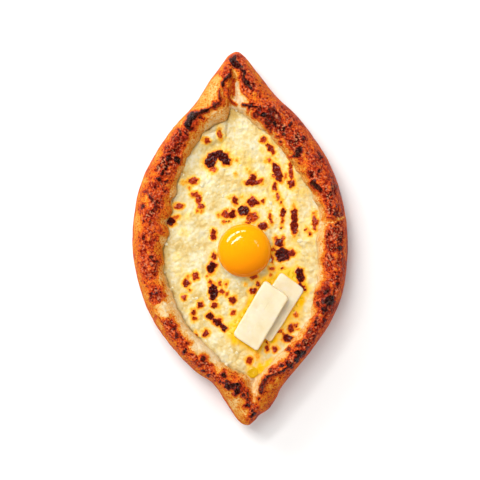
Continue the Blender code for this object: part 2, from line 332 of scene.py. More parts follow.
def bread_rings():
    """The rings from the hollow's floor over the rim to the middle underneath."""
    rings = []
    for angle in np.radians([0, 30, 60]):
        size = FLOOR_SHARE + (1 - FLOOR_SHARE) * math.sin(angle)
        rise = (CHEESE_LEVEL - FLOOR_HEIGHT) * (1 - math.cos(angle))
        rings.append(ring(inner * size, FLOOR_HEIGHT + rise, -1))
    for step in range(WALL_RINGS + 1):
        part = step / WALL_RINGS
        angle = math.radians(90 * part)
        across = 0.6 * (1 - math.cos(angle)) + 0.4 * part
        rise = math.sin(angle) ** (0.9 + 1.6 * near_tip)
        level = CHEESE_LEVEL + (crest_height - CHEESE_LEVEL) * rise
        rings.append(ring(inner + (crest - inner) * across, level, part))
    for step in range(1, SIDE_RINGS + 1):
        angle = math.radians(90 * step / SIDE_RINGS)
        level = widest + (crest_height - widest) * math.cos(angle)
        rings.append(ring(crest + (outer - crest) * math.sin(angle), level, 1 + step / SIDE_RINGS))
    for step in range(1, TUCK_RINGS + 1):
        angle = math.radians(90 * step / TUCK_RINGS)
        size = 1 - (1 - FOOT_SHARE) * (1 - math.cos(angle))
        rings.append(ring(outer * size, widest * (1 - math.sin(angle)), 2 + step / TUCK_RINGS))
    for part in (0.25, 0.5, 0.75, 0.95):
        rings.append(ring(outer * FOOT_SHARE * (1 - part), 0, 3 + part))
    return np.array(rings)


bread_grid = bread_rings()
RINGS, STATIONS = bread_grid.shape[:2]
points = bread_grid[..., :3].reshape(-1, 3)
over = bread_grid[..., 3].reshape(-1)
on_left = np.tile(np.arange(STATIONS) >= STATIONS_A_SIDE, RINGS)
facing_up = np.clip(over / 0.12, 0, 1) * np.clip((1.9 - over) / 0.5, 0, 1)
print("bread grid: %d rings of %d points" % (RINGS, STATIONS))

# %% [markdown]
# ## Folds at the tips
# The baker pinches each end shut, and the dough there gathers in pleats. A pleat is a path seen
# from above with a height and a width. A raised one is a ridge and a sunk one is a crease, and both
# are a soft bump round the distance to the path. The same list could hold any number of folds.

# %% Pleats
PLEATS = [  # path, height, half width
    ([(-7.5, 121), (-8, 112), (-6.5, 105), (-3.5, 100)], 2.2, 2.0),
    ([(-4.8, 119), (-4.6, 111), (-4.8, 105)], -1.5, 0.8),
    ([(-11.8, 112), (-11, 106), (-8, 100)], -1.2, 1.2),
    ([(-13, 130), (-8, 126.5), (-4, 123), (-1, 117)], 1.6, 1.4),
    ([(-8, 121), (-10.5, 119), (-13, 116), (-13.5, 113)], 1.6, 1.5),
    ([(-15.5, 110), (-15.2, 104), (-17, 99.5), (-24, 96), (-33, 93)], 2.0, 1.8),
    ([(-12.5, 104), (-16, 97), (-24, 92.5), (-31, 89)], -1.2, 1.6),
    ([(0, 118), (3, 108), (4, 101)], -1.0, 1.6),
    ([(15, -114), (16.5, -108), (19.5, -103.5), (23, -100.5), (30, -98.5), (38, -94)], 2.2, 1.7),
    ([(19.5, -112), (23, -105.5), (30, -102)], -1.0, 2.2),
    ([(11.5, -123), (11.5, -115), (10.5, -108)], -2.4, 1.8),
    ([(5.5, -113), (6, -120), (9, -128)], 1.4, 1.8),
    ([(-9, -107), (-2, -110), (3, -115)], 1.6, 2.8),
    ([(-1, -118), (-5, -121)], -0.5, 0.8),
    ([(60, 8.5), (66, 11.5), (72, 13.5), (78, 15.5)], -1.3, 0.9),
    ([(66, 5), (70, 8), (75, 11)], 0.8, 2.0),
]


def distance_to(line, xy):
    """Each point's distance to an open polyline."""
    nearest = np.full(len(xy), np.inf)
    for a, b in zip(np.array(line[:-1], float), np.array(line[1:], float)):
        along = np.clip((xy - a) @ (b - a) / ((b - a) @ (b - a)), 0, 1)
        nearest = np.minimum(nearest, np.linalg.norm(xy - (a + along[:, None] * (b - a)), axis=1))
    return nearest


def bump(path, half_width, xy):
    """1 on the path, falling to 0 away from it."""
    return np.exp(-((distance_to(path, xy) / half_width) ** 2))


for path, height, half_width in PLEATS:
    points[:, 2] += height * bump(path, half_width, points[:, :2]) * facing_up
print("pleats:", len(PLEATS))

# %% [markdown]
# ## Where the oven caught it
# Heat browns bread unevenly. High spots and thin blisters char first, hollows stay pale, and flour
# keeps a patch white. Rather than painting a picture, each scorched spot is written as an ellipse:
# its place, its width and height, how far it leans, and how dark it is. Two fields come out of the
# list: the char itself, with a crisp edge, and the scald round it, which fades over some
# millimetres. Noise bends the space first, so no spot stays an ellipse. A burn that follows a fold
# is written as a path with a half width instead, and goes into the same two fields.


# %% Scorch marks as fields
CLOSE = 1.2  # how far out a mark still counts, as a share of its squared reach


def swirl(xyz, size, reach, seed):
    """A smooth random 2-D shift for each point, about reach at most."""
    place = Vector((seed * 17.3, seed * 5.1, seed * 9.7))
    shifts = [noise.noise_vector(Vector(p) / size + place)[:2] for p in xyz]
    return np.array(shifts) * reach


def noise_at(xyz, size, shift=(0, 0, 0)):
    """Smooth noise of about this size in mm at each point, between -1 and 1."""
    return np.array([noise.noise(Vector(p) / size + Vector(shift)) for p in xyz])


def mark_axes(xy, x, y, lean):
    """How far each point lies across and along a mark that leans to the right by lean degrees."""
    angle = math.radians(lean)
    dx, dy = xy[:, 0] - x, xy[:, 1] - y
    return dx * math.cos(angle) - dy * math.sin(angle), dx * math.sin(angle) + dy * math.cos(angle)


def scorch(xy, marks, edge, halo, swell):
    """The char and the scald at each point, both 0 to the marks' depth. The marks swell by a
    little, char rises across their outline over edge, and scald is gone at halo outside it."""
    char, scald = np.zeros(len(xy)), np.zeros(len(xy))
    for x, y, width, height, lean, depth in marks:
        across, along = mark_axes(xy, x, y, lean)
        close = np.flatnonzero(across**2 + along**2 < (max(width, height) / 2 + halo) ** 2 * CLOSE)
        across, along = across[close] / (width / 2), along[close] / (height / 2)
        outside = (np.hypot(across, along) - 1) * math.sqrt(width * height) / 2 - swell
        char[close] = np.maximum(char[close], depth * np.clip(0.5 - outside / edge, 0, 1))
        scald[close] = np.maximum(scald[close], depth * np.clip(1 - outside / halo, 0, 1) ** 1.5)
    return char, scald


# %% The crust's burns
# x, y, width, height, lean in degrees to the right, depth
CRUST_MARKS = [
    (-5.8, 134.5, 7, 9, -30, 1.0), (-1.5, 128.5, 5, 6, -40, 0.95), (-3, 137, 8, 4, 0, 0.72),
    (3, 123.5, 4, 4, 0, 1.0), (2, 119.5, 3, 4, 0, 0.95), (5, 115.5, 4, 5, -20, 1.0),
    (8, 112.5, 3, 4.5, -35, 1.0), (10, 110.5, 4, 2.4, -45, 0.85), (13, 109, 3, 2, 0, 0.8),
    (7, 120, 4, 9, -35, 0.7), (-16, 124, 4, 3.4, 40, 0.78), (-11, 126.5, 3, 3, 0, 0.75),
    (-8, 121.5, 3, 3.4, 0, 0.8), (-15.4, 106.5, 3, 7, 0, 0.85), (-19, 99, 5, 3, 60, 0.85),
    (-35.5, 91, 10, 7, 35, 1.0), (-38, 86, 6.5, 10, 10, 1.0), (-36, 81.5, 6, 4, 0, 0.95),
    (-30, 91, 9, 3, 50, 0.88), (-33, 86, 5, 6, 40, 0.72), (-45, 78.5, 7, 2.6, 65, 0.95),
    (-40.5, 78, 5, 2.4, 60, 0.92), (-46, 74, 6, 4, 40, 0.76), (-42, 74, 7, 5, 0, 0.8),
    (-51, 74, 4, 2, 50, 0.8), (-49, 69, 6, 4, 50, 0.78), (-52, 64, 6, 3, 40, 0.84),
    (-53, 59.5, 7, 4, -60, 0.97), (-46.5, 58.5, 5, 7, -30, 1.0), (-55, 62, 4, 3, 0, 0.8),
    (-58, 54, 3, 2, 0, 0.75), (-57.5, 48.5, 4, 5, 30, 1.0), (-53.5, 48, 4, 2.6, 0, 0.92),
    (-60, 43.5, 4.6, 3.6, 0, 1.0), (-55, 41.8, 4.4, 2.4, 0, 0.95), (-62.5, 37.5, 5, 3.6, 60, 0.9),
    (-70, 35, 4, 4, 0, 0.8), (-66, 30, 2.4, 9, -40, 0.95), (-62.5, 23.5, 3, 7, -15, 0.9),
    (-56, 35.5, 2.4, 5.5, -40, 0.88), (-58, 31.5, 4, 3, 0, 0.75), (-72.3, 23.5, 3, 4.6, 0, 0.95),
    (-68, 20.5, 3, 1.6, 0, 0.85), (-74, 19, 1.8, 3, 0, 0.75), (-71, 13, 2.4, 2.4, 0, 0.85),
    (-66, 14.5, 3.4, 2, 0, 0.88), (-59, 6, 5, 5, 0, 0.66), (-71.5, 1, 3, 5, 0, 0.95),
    (-68, 2, 2.4, 1.6, 0, 0.8), (-66, -3, 6, 3, 60, 0.74), (-65.5, -13.5, 4, 3.6, 0, 0.95),
    (-62.5, -17, 6, 2.8, 0, 1.0), (-68, -15.5, 4, 1.6, 60, 0.85), (-71.8, -16.8, 2.2, 2, 0, 0.85),
    (-76, -9.3, 1.6, 2, 0, 0.8), (-66, -23.5, 3, 2, 0, 0.8), (-69, -21, 3, 1.6, 0, 0.75),
    (-78, -26, 1.8, 4, 0, 0.75), (-64, -41, 8, 2.6, 0, 0.88), (-60, -37.5, 2, 2.4, 0, 0.82),
    (-56.5, -43, 2, 2, 0, 0.8), (-66, -44, 5, 2, -60, 0.8), (-64, -60, 5, 2.6, -50, 0.84),
    (-53, -62, 3, 5, -40, 0.78), (-48.5, -66, 5, 5, -40, 0.86), (-47, -71.5, 4, 5, 0, 0.97),
    (-43.5, -77, 4, 2.4, -50, 0.86), (-39, -77.5, 4, 3, 0, 0.9), (-41, -83, 6, 3.6, -60, 0.97),
    (-36, -86, 4, 3, 0, 0.8), (-27, -89, 5, 5, 0, 0.9), (-29, -94, 5, 3, 0, 0.86),
    (-28, -98.5, 3.6, 2.6, 0, 0.95), (-23.5, -102, 4, 2.4, -50, 1.0), (-19.5, -100, 2.6, 3, 0, 0.97),
    (-18, -104, 5, 2, -60, 0.85), (-12, -101, 4.8, 4.4, 0, 0.97), (-13, -107, 7, 3, 0, 0.85),
    (-3.5, -107.8, 8, 3, 0, 1.0), (-8, -110.5, 8, 4.6, 0, 0.97), (-2, -113, 7, 4, -60, 1.0),
    (2.2, -116, 3, 4, 0, 0.97), (1, -108.5, 3, 5, -20, 0.9), (5.6, -115, 2.8, 5, 0, 1.0),
    (5.6, -119.5, 2.6, 4, 0, 0.85), (5.6, -124.3, 4.6, 3.4, 0, 1.0), (9.4, -127.3, 3, 3.4, 0, 1.0),
    (11, -131, 4.6, 4, -30, 1.0), (8, -132.5, 4, 3.4, 0, 0.9), (9.5, -136, 4, 3, 0, 0.84),
    (12.5, -125.5, 3, 2, 0, 0.76), (14.3, -119.3, 2, 2.6, 0, 0.97), (15.6, -112, 1.8, 5, 0, 0.86),
    (19, -104.5, 3.4, 4, 30, 0.95), (36.5, -94, 8, 4, 45, 1.0), (31, -94.5, 3, 3.4, 0, 0.97),
    (42, -90, 6, 5, 45, 0.98), (46, -86, 9, 7, 45, 0.97), (42, -84, 5, 4, 0, 0.98),
    (36.5, -82, 4, 3, 0, 0.84), (43, -79, 4, 3.4, 0, 0.92), (51, -82, 6, 4, 45, 0.9),
    (46.5, -76, 5, 2, -55, 0.88), (56, -78.5, 4, 3.4, 0, 0.94), (55, -72.5, 5, 3, 0, 0.9),
    (50, -71, 4, 3, 0, 0.82), (57.5, -68, 4, 2.4, 0, 0.78), (53, -66.5, 3, 2.4, 0, 0.8),
    (56, -61.5, 4.4, 3, 0, 0.94), (62.5, -60.5, 4, 3.4, 0, 0.92), (57, -59, 3, 2, 0, 0.85),
    (64, -39.5, 5, 3, -50, 1.0), (66.5, -46, 8, 8, 0, 1.0), (62, -46.5, 4, 4, 0, 0.95),
    (58.5, -41, 3.4, 4, 0, 0.86), (58.5, -49, 2.4, 6, 0, 0.84), (63, -52.5, 6, 5, 0, 0.97),
    (69, -50, 4, 8, 30, 0.84), (61.5, -55.5, 3, 3, 0, 0.9), (72, -33.5, 3.4, 3, 0, 0.9),
    (64, -33.5, 5, 2.4, 0, 0.8), (73, -28, 3, 2, 0, 0.88), (75.5, -23.5, 2.4, 3, 0, 0.84),
    (75, -7, 4.4, 5, 0, 0.97), (70, -5, 2, 3.4, 0, 0.95), (72.5, -3.5, 2.4, 3, 0, 0.9),
    (77.5, -12, 1.8, 2.6, 0, 0.85), (67, -5, 3, 2, 0, 0.75), (69.7, 18.3, 4, 3, 0, 0.97),
    (66.5, 16, 4, 2, 0, 0.85), (71, 25, 3, 3.4, 0, 0.84), (66, 5, 3, 3, 0, 0.74),
    (54.3, 41.5, 5, 5, 0, 1.0), (57.3, 38.5, 4.6, 6.5, -45, 0.97), (60, 36, 3.6, 4, 0, 0.98),
    (58.5, 50.5, 3.4, 4, 0, 0.94), (57.5, 47, 3, 2.4, 0, 0.95), (62.5, 58, 2.4, 2.6, 0, 0.94),
    (66, 51, 2.2, 2.6, 0, 0.88), (67, 48, 1.8, 3, 0, 0.86), (67, 40.5, 2.4, 2.4, 0, 0.84),
    (43.6, 65.5, 6, 7, 20, 1.0), (43, 61.5, 6, 3.4, 0, 0.95), (39, 60.7, 5, 2, 0, 0.92),
    (46, 65, 3, 4, 0, 0.84), (56, 61, 4, 3, 0, 0.78), (54, 56, 4, 5, 0, 0.76),
    (47, 74.5, 4, 4.6, 0, 0.93), (37.5, 84.5, 3.6, 4.6, 0, 0.93), (32, 77.5, 4, 2.4, 0, 0.95),
    (38.5, 75, 2.2, 2, 0, 0.86), (35, 79, 4, 3, 0, 0.78), (41.5, 80, 2, 2.4, 0, 0.85),
    (43, 87.3, 2, 2, 0, 0.88), (30, 71.5, 2, 2, 0, 0.9), (28, 76, 2, 2, 0, 0.85),
    (8, 98.5, 7, 2.6, -65, 0.97), (15.5, 97, 6, 2, 80, 0.95), (13, 93.5, 9, 6, -50, 0.84),
    (18, 91.5, 5, 5, 0, 1.0), (23, 94, 10, 6, -60, 0.86), (22, 87.5, 9, 7, -50, 0.86),
    (26, 84.5, 3.6, 6, -10, 1.0), (29, 90, 3.6, 8, 0, 0.88), (23, 81.3, 6, 2, -70, 0.85),
]
BURNT_LINES = [  # path, half width, depth
    ([(-7, 136), (-5.5, 132), (-2, 128)], 2.8, 0.97), ([(-1, 128), (2.5, 123)], 1.4, 0.95),
    ([(2.8, 123.5), (2.2, 119.5), (4.5, 115.5), (8.5, 111.5)], 1.7, 0.95),
    ([(-7.5, 121), (-9.2, 120)], 1.8, 0.95), ([(-10, 119), (-12, 116.8)], 1.3, 1.0),
    ([(-12.6, 115.5), (-12.8, 113.8)], 1.8, 1.0), ([(-7.2, 125.5), (-7.2, 122.5)], 0.9, 0.8),
    ([(-15.3, 110), (-14.4, 103.5)], 1.3, 0.85),
    ([(-16, 100), (-20, 97.8), (-25, 95.6), (-29, 94.6)], 1.0, 0.95),
    ([(-24, 95.2), (-31, 92.6), (-37, 90.8)], 1.8, 0.97),
    ([(-10, 110), (-8.3, 105), (-5.8, 101.5), (-3, 99.8)], 0.7, 0.8),
    ([(2.5, 99.5), (8, 98.3), (13, 97.6)], 1.1, 0.97),
    ([(-5, 118), (-4.9, 111), (-4.7, 107)], 0.3, 0.72),
    ([(-9, -107.5), (-5, -109.5), (0, -111.5)], 3.2, 0.84), ([(63.5, -38), (64, -47)], 4.2, 0.8),
    ([(15.3, -114), (16.2, -109), (18.5, -105)], 1.4, 0.9),
    ([(20, -102.5), (24, -100.8), (29, -99.5), (34, -96.5), (39, -92.5)], 1.3, 1.0),
]

xy_bent = points[:, :2] + swirl(points, 4.5, 1.1, 1) + swirl(points, 1.8, 0.55, 2)
char, scald = scorch(xy_bent, CRUST_MARKS, edge=1.3, halo=3.6, swell=0.2)
xy_crisp = points[:, :2] + 0.35 * (xy_bent - points[:, :2])
for path, half_width, depth in BURNT_LINES:
    gap = distance_to(path, xy_crisp) - half_width
    char = np.maximum(char, depth * np.clip(0.5 - gap / 0.9, 0, 1))
    scald = np.maximum(scald, depth * np.clip(1 - gap / 1.6, 0, 1) ** 1.5)
char, scald = char * facing_up, scald * facing_up
print("crust marks:", len(CRUST_MARKS), " vertices charred:", int((char > 0.6).sum()))

# %% [markdown]
# ## How brown the dough is
# One number for each vertex says how far it has baked: 0 is pale dough, 0.4 golden, 0.6 red-brown
# and 1 burnt. It starts from a profile across the rim, because the crest stands nearest the heat
# and the wall by the cheese is shaded. Broad patches then pull it towards another value where a
# flap, a pinch or a dusting of flour baked differently, and a crease across the right rim keeps
# a pale line. Scald and char come last. The same cell works out where the crust is rugged, and a
# band of painted shade along the foot of the inner wall, where it meets the cheese.

# %% Brownness
# Brownness by how far over the rim a point lies, from inside (-1) to underneath (4)
ACROSS = (-1, 0, 0.3, 0.46, 0.56, 0.66, 0.9, 1.2, 1.36, 1.6, 1.8, 2.0, 2.4, 3.0, 4.0)
BAKE_LEFT = (0.1, 0.11, 0.17, 0.27, 0.42, 0.53, 0.55, 0.52, 0.42, 0.37, 0.47, 0.62, 0.6, 0.44, 0.5)
# The right side's outer wall is browner than the left's, partly as painted shade for the side away from
# the windows
BAKE_RIGHT = (0.1, 0.1, 0.15, 0.22, 0.38, 0.52, 0.58, 0.6, 0.58, 0.56, 0.6, 0.68, 0.62, 0.46, 0.5)
# x, y, reach across, reach along, lean in degrees to the right, brownness, pull
BAKE_PATCHES = [
    (-23.5, 105.5, 6, 14, 38, 0.2, 7), (-17.5, 115, 3.4, 6, 28, 0.17, 8),
    (-12, 125.5, 3.6, 4.5, 30, 0.52, 10), (-41, 89.5, 3.2, 9, 42, 0.26, 7),
    (-30, 88, 3, 10, 58, 0.3, 6), (-17.5, 91, 4.5, 9, 60, 0.13, 10), (-33, 78, 3, 8, 30, 0.28, 5),
    (-7.2, 111, 1.9, 9, 8, 0.44, 8), (-1.8, 106, 2.2, 8, 8, 0.0, 14), (2, 99, 2.4, 6, 0, 0.04, 8),
    (-13, 108, 1.4, 6, 0, 0.26, 6), (-7, 126, 1.4, 6, -55, 0.16, 6),
    (-3, 120.5, 1.5, 3, -30, 0.18, 6), (13, 118, 3.4, 14, -36, 0.4, 6), (8, 104, 4, 5, 0, 0.4, 6),
    (4.6, 111, 3, 6, 0, 0.64, 10), (-10.5, 131, 3, 4, 45, 0.52, 6), (22, 103, 5, 10, -42, 0.48, 4),
    (38, 72, 4, 8, -42, 0.5, 4), (40, 57, 3, 9, -40, 0.32, 5), (48, 47, 3, 7, -35, 0.27, 5),
    (30, 66, 2.4, 7, -42, 0.28, 4), (46, 58, 4, 4, 0, 0.44, 4), (64, 14, 3, 3, 0, 0.46, 4),
    (61, 6, 2.6, 6, 0, 0.1, 7), (-58, 6, 4, 4, 0, 0.5, 6), (-55, 24, 4, 8, -5, 0.44, 7),
    (-60.5, -8, 3, 3.6, 0, 0.22, 7), (-58, -52.5, 6, 3.6, 10, 0.06, 14),
    (-63, -34, 6, 3, 0, 0.42, 5), (-52, -56, 4, 2.4, -40, 0.3, 5), (-47, 71, 5, 9, 36, 0.64, 7),
    (-53, 61, 4.5, 8, 32, 0.66, 7), (-57, 47, 4.5, 9, 20, 0.63, 6), (-64, 26, 4.5, 10, 10, 0.62, 4),
    (-62, -12, 4.5, 10, 0, 0.61, 4), (-49, -71, 3, 9, -38, 0.6, 5), (-34, -91, 3, 9, -50, 0.49, 5),
    (23, 89, 6, 10, -40, 0.7, 7), (56, 43, 5, 8, -30, 0.6, 4), (67, -8, 4.5, 16, 0, 0.64, 4),
    (65, -47, 6, 10, 10, 0.68, 6), (50, -77, 4.5, 14, 42, 0.64, 5), (-46, 58, 2.4, 5, 25, 0.6, 6),
    (-51, 46, 2.4, 6, 20, 0.56, 5), (-54, 36, 2.4, 5, 15, 0.54, 5), (-41, 68, 2.4, 6, 35, 0.5, 5),
    (-56, -14, 2.6, 6, 0, 0.42, 4), (-64, -52, 3, 4, -30, 0.44, 5), (-29, -82, 4, 10, -48, 0.0, 8),
    (-14, -96, 4, 5, -60, 0.12, 6), (-21, -88, 3.4, 9, -46, 0.0, 10),
    (-41, -68, 3, 10, -40, 0.06, 6), (-51, -50, 2.4, 8, -24, 0.06, 5),
    (-2, -122, 5, 8, -25, 0.17, 8), (-8, -116, 4, 4, -30, 0.28, 7), (-2, -131, 3, 6, -25, 0.2, 7),
    (3, -134, 4, 3, 0, 0.36, 5), (2.5, -127, 2.6, 3, 0, 0.14, 6), (10.7, -109, 3.4, 8, 0, 0.0, 12),
    (11, -117, 2.2, 5, 0, 0.1, 9), (7.5, -107, 2.6, 3, 0, 0.2, 5), (25, -110, 6, 10, 32, 0.36, 9),
    (17, -121, 3, 5, 30, 0.28, 7), (22, -124, 3, 8, 35, 0.5, 5), (34, -103, 3, 8, 42, 0.5, 6),
    (30, -88, 3.4, 10, 42, 0.12, 7), (43, -72, 3, 7, 42, 0.16, 6), (-5, -103, 5, 2.4, 20, 0.42, 5),
    (70, -60, 5, 14, 30, 0.62, 4), (-38, 63, 2.4, 9, 32, 0.28, 8), (-44.5, 47, 2.4, 9, 20, 0.27, 8),
    (-49.5, 30, 2, 4, 10, 0.16, 8), (26, -98.5, 3, 3.6, 0, 0.68, 8), (66, 40, 4, 8, -25, 0.7, 8),
    (-51, 17.5, 2.4, 3, 0, 0.5, 8), (-31, 108.5, 1.8, 14, 39, 0.42, 9), (60, -46, 4, 6, 0, 0.72, 5),
    (-73.5, 29, 3, 9, 0, 0.46, 3),
]
PALE_LINES = [([(61, 9), (66, 11.5), (72, 14), (77.5, 15.5)], 0.9, 0.1)]  # path, half width, brownness


def patch_weights(xy, patches):
    """Each soft patch's weight at each point, and the rest of its line in the list."""
    for x, y, wide, long, lean, *rest in patches:
        across, along = mark_axes(xy, x, y, lean)
        yield np.exp(-(((across / wide) ** 2 + (along / long) ** 2) ** 2)), *rest


# The profile wavers along the rim, and each patch pulls it towards its own value
xy_loose = points[:, :2] + swirl(points, 9.0, 3.2, 3)
bend = 0.13 * noise_at(points, 7.0) + 0.08 * noise_at(points, 2.6)
sides = [np.interp(over + bend, ACROSS, profile) for profile in (BAKE_LEFT, BAKE_RIGHT)]
bake = np.where(on_left, *sides)
total, weight = bake.copy(), np.ones(len(bake))
for near, value, pull in patch_weights(xy_loose, BAKE_PATCHES):
    near = pull * near * facing_up
    total, weight = total + near * value, weight + near
bake = total / weight
for path, half_width, value in PALE_LINES:
    bake += (value - bake) * bump(path, half_width, xy_bent)

# Soft blotches, then scald that is at least red-brown, and char over it
blotch = noise_at(points, 8.0, (9, 2, 4))
bake = np.clip(bake + 0.22 * blotch * np.clip(bake / 0.5, 0.4, 1), 0, 1)
bake = np.maximum(bake, 0.67 * scald)
bake += (0.53 + 0.39 * char**3 - bake) * np.clip(char * 1.3, 0, 1)
points[:, 2] += (0.7 * char + 0.4 * scald) * facing_up  # burnt skin has lifted

rugged = np.interp(over, (0.1, 0.5, 0.8, 1.2, 1.5, 1.95), (0.4, 0.8, 1.0, 1.0, 0.6, 0.25))
rugged *= np.clip(bake / 0.55, 0.5, 1.2) * facing_up
# Painted shade: a darker band along the foot of the inner wall, where it meets the cheese
painted_foot_shade = np.exp(-((over / 0.1) ** 2)) * (over >= 0)
painted_foot_shade *= 0.35 + 0.7 * noise_at(points, 5.0, (3, 8, 1))
print("mean brownness: %.2f" % bake.mean())

# %% [markdown]
# ## Oven relief, by Geometry Nodes
# A crust is never smooth: soft lumps of dough, a rough skin of rounded grains with cracks between
# them, and blisters where steam lifted the skin. All of it follows the surface, so it suits a
# Geometry Nodes tree that moves each vertex along its normal. The absolute value of noise makes
# rounded lumps with sharp valleys, and Voronoi cells make the blisters. Two attributes steer it:
# rugged says how rough the skin is, and char where blisters rise. The tree also stores how high it
# moved each vertex, so that a material can colour the peaks and the cracks apart.


# %% Helpers for Geometry Nodes
def new_tree(name, sizes):
    """A Geometry Nodes tree with a geometry in and out, a number input for each size, a seed and a
    material: the tree, its inputs, and what adds a node to it."""
    tree = bpy.data.node_groups.new(name, "GeometryNodeTree")
    tree.interface.new_socket("Geometry", in_out="INPUT", socket_type="NodeSocketGeometry")
    for label, value in sizes.items():
        socket = tree.interface.new_socket(label, in_out="INPUT", socket_type="NodeSocketFloat")
        socket.default_value = value
    seed = tree.interface.new_socket("Seed", in_out="INPUT", socket_type="NodeSocketInt")
    seed.default_value = 1
    tree.interface.new_socket("Material", in_out="INPUT", socket_type="NodeSocketMaterial")
    tree.interface.new_socket("Geometry", in_out="OUTPUT", socket_type="NodeSocketGeometry")
    add = partial(add_node, tree)
    return tree, add("NodeGroupInput").outputs, add


def close_tree(add, given, geometry):
    """Realizes what the tree made, gives it its material, and sends it out."""
    real = add("GeometryNodeRealizeInstances", geometry)
    dressed = add("GeometryNodeSetMaterial", sockets={"Geometry": real, "Material": given["Material"]})
    add("NodeGroupOutput", dressed)


def grow(name, source, tree, **values):
    """Runs the tree on the source object and returns the result as a plain new object."""
    modifier = source.modifiers.new(tree.name, "NODES")
    modifier.node_group = tree
    for item in tree.interface.items_tree:
        if item.item_type == "SOCKET" and item.in_out == "INPUT" and item.name in values:
            modifier[item.identifier] = values[item.name]
    graph = bpy.context.evaluated_depsgraph_get()
    mesh = bpy.data.meshes.new_from_object(
        source.evaluated_get(graph), preserve_all_data_layers=True, depsgraph=graph
    )
    source.modifiers.remove(modifier)
    mesh.name = name
    print("%s: %d faces" % (name, len(mesh.polygons)))
    return new_object(name, mesh)


def mesh_object(name, vertices, faces, **attributes):
    """A smooth-shaded object from points in mm, with a float attribute for each name."""
    mesh = bpy.data.meshes.new(name)
    mesh.from_pydata((np.asarray(vertices) * MM).tolist(), [], faces)
    for label, values in attributes.items():
        layer = mesh.attributes.new(label, "FLOAT", "POINT")
        layer.data.foreach_set("value", np.asarray(values, float))
    mesh.update()
    mesh.shade_smooth()
    return new_object(name, mesh)


# %% The relief tree
def relief_tree():
    """Moves each vertex along its normal, and stores how high as relief, in mm."""
    tree, given, add = new_tree(
        "oven relief",
        {"Lump size": 0.01, "Lump height": 0.001, "Grain size": 0.004, "Grain height": 0.001,
         "Fine size": 0.002, "Fine height": 0.001, "Blister size": 0.002, "Blister height": 0.001,
         "Still below": 0.0},
    )
    place = add("GeometryNodeInputPosition")
    charred, rugged = (
        add("GeometryNodeInputNamedAttribute", sockets={"Name": label}, data_type="FLOAT")
        for label in ("char", "rugged")
    )

    def swings(kind):
        """Noise of this kind's size, swinging between -1 and 1."""
        scale = add("ShaderNodeMath", 1.0, given[kind + " size"], operation="DIVIDE")
        field = add("ShaderNodeTexNoise", noise_dimensions="4D",
                    sockets={"Vector": place, "W": given["Seed"], "Scale": scale, "Detail": 1.5})
        return add("ShaderNodeMath", field, 2.0, -1.0, operation="MULTIPLY_ADD")

    # Soft lumps, lower where the skin is smooth
    lumps = add("ShaderNodeMath", swings("Lump"), given["Lump height"], operation="MULTIPLY")
    steadied = add("ShaderNodeMath", rugged, 0.75, 0.25, operation="MULTIPLY_ADD")
    lumps = add("ShaderNodeMath", lumps, steadied, operation="MULTIPLY")

    # Rounded grains with sharp cracks between them
    peaks = 0.0
    for kind in ("Grain", "Fine"):
        creased = add("ShaderNodeMath", swings(kind), operation="ABSOLUTE")
        folded = add("ShaderNodeMath", creased, 2.6, -0.6, operation="MULTIPLY_ADD")
        masked = add("ShaderNodeMath", folded, rugged, operation="MULTIPLY")
        peaks = add("ShaderNodeMath", masked, given[kind + " height"], peaks, operation="MULTIPLY_ADD")

    # Domed blisters where the skin is charred
    scale = add("ShaderNodeMath", 1.0, given["Blister size"], operation="DIVIDE")
    cells = add("ShaderNodeTexVoronoi", voronoi_dimensions="4D", feature="SMOOTH_F1",
                sockets={"Vector": place, "W": given["Seed"], "Scale": scale, "Smoothness": 0.2})
    dome = add("ShaderNodeMath", cells.outputs["Distance"], -1.6, 0.9, operation="MULTIPLY_ADD")
    blisters = add("ShaderNodeMath", dome, charred, operation="MULTIPLY")
    peaks = add("ShaderNodeMath", blisters, given["Blister height"], peaks, operation="MULTIPLY_ADD")

    # Nothing moves where the piece rests or is hidden
    level = add("ShaderNodeSeparateXYZ", place).outputs["Z"]
    free_above = add("ShaderNodeMath", given["Still below"], 4 * MM, operation="ADD")
    free = add("ShaderNodeMapRange", level, given["Still below"], free_above)
    peaks = add("ShaderNodeMath", peaks, free, operation="MULTIPLY")
    total = add("ShaderNodeMath", lumps, free, peaks, operation="MULTIPLY_ADD")
    shift = add("ShaderNodeVectorMath", sockets={0: add("GeometryNodeInputNormal"), "Scale": total},
                operation="SCALE")
    in_mm = add("ShaderNodeMath", peaks, 1 / MM, operation="MULTIPLY")
    noted = add("GeometryNodeStoreNamedAttribute", data_type="FLOAT",
                sockets={"Geometry": given["Geometry"], "Name": "relief", "Value": in_mm})
    moved = add("GeometryNodeSetPosition", sockets={"Geometry": noted, "Offset": shift})
    close_tree(add, given, moved)
    return tree


oven_relief = relief_tree()
print("oven relief: %d nodes" % len(oven_relief.nodes))

# %% [markdown]
# ## Crust
# Baked wheat crust is dry starch and browned sugar. It is matt where it is pale and has a dull
# shine where it has browned, and char is brittle and glossy, which a coat gives it. The colour runs
# down one ramp from cream to black. The brownness attribute gives the broad pattern, the relief
# makes the cracks darker than the grains, partly as the crust's own colour and partly as painted
# shade, and noises of 5, 2 and 0.8 mm break it up into speckle. Pale flecks of painted highlight,
# rust freckles on the dough, painted glints on the browned grains and painted shade on the foot of
# the inner wall are one step each.


# %% Crust material
CRUST_RAMP = [  # brownness and its colour
    (0.0, "F3DEB8"), (0.1, "EFCB90"), (0.22, "E9AE5A"), (0.34, "E38E28"), (0.45, "DE6E1A"),
    (0.55, "D8561C"), (0.65, "B43616"), (0.75, "7C1608"), (0.86, "380703"), (0.97, "0C0202"),
]


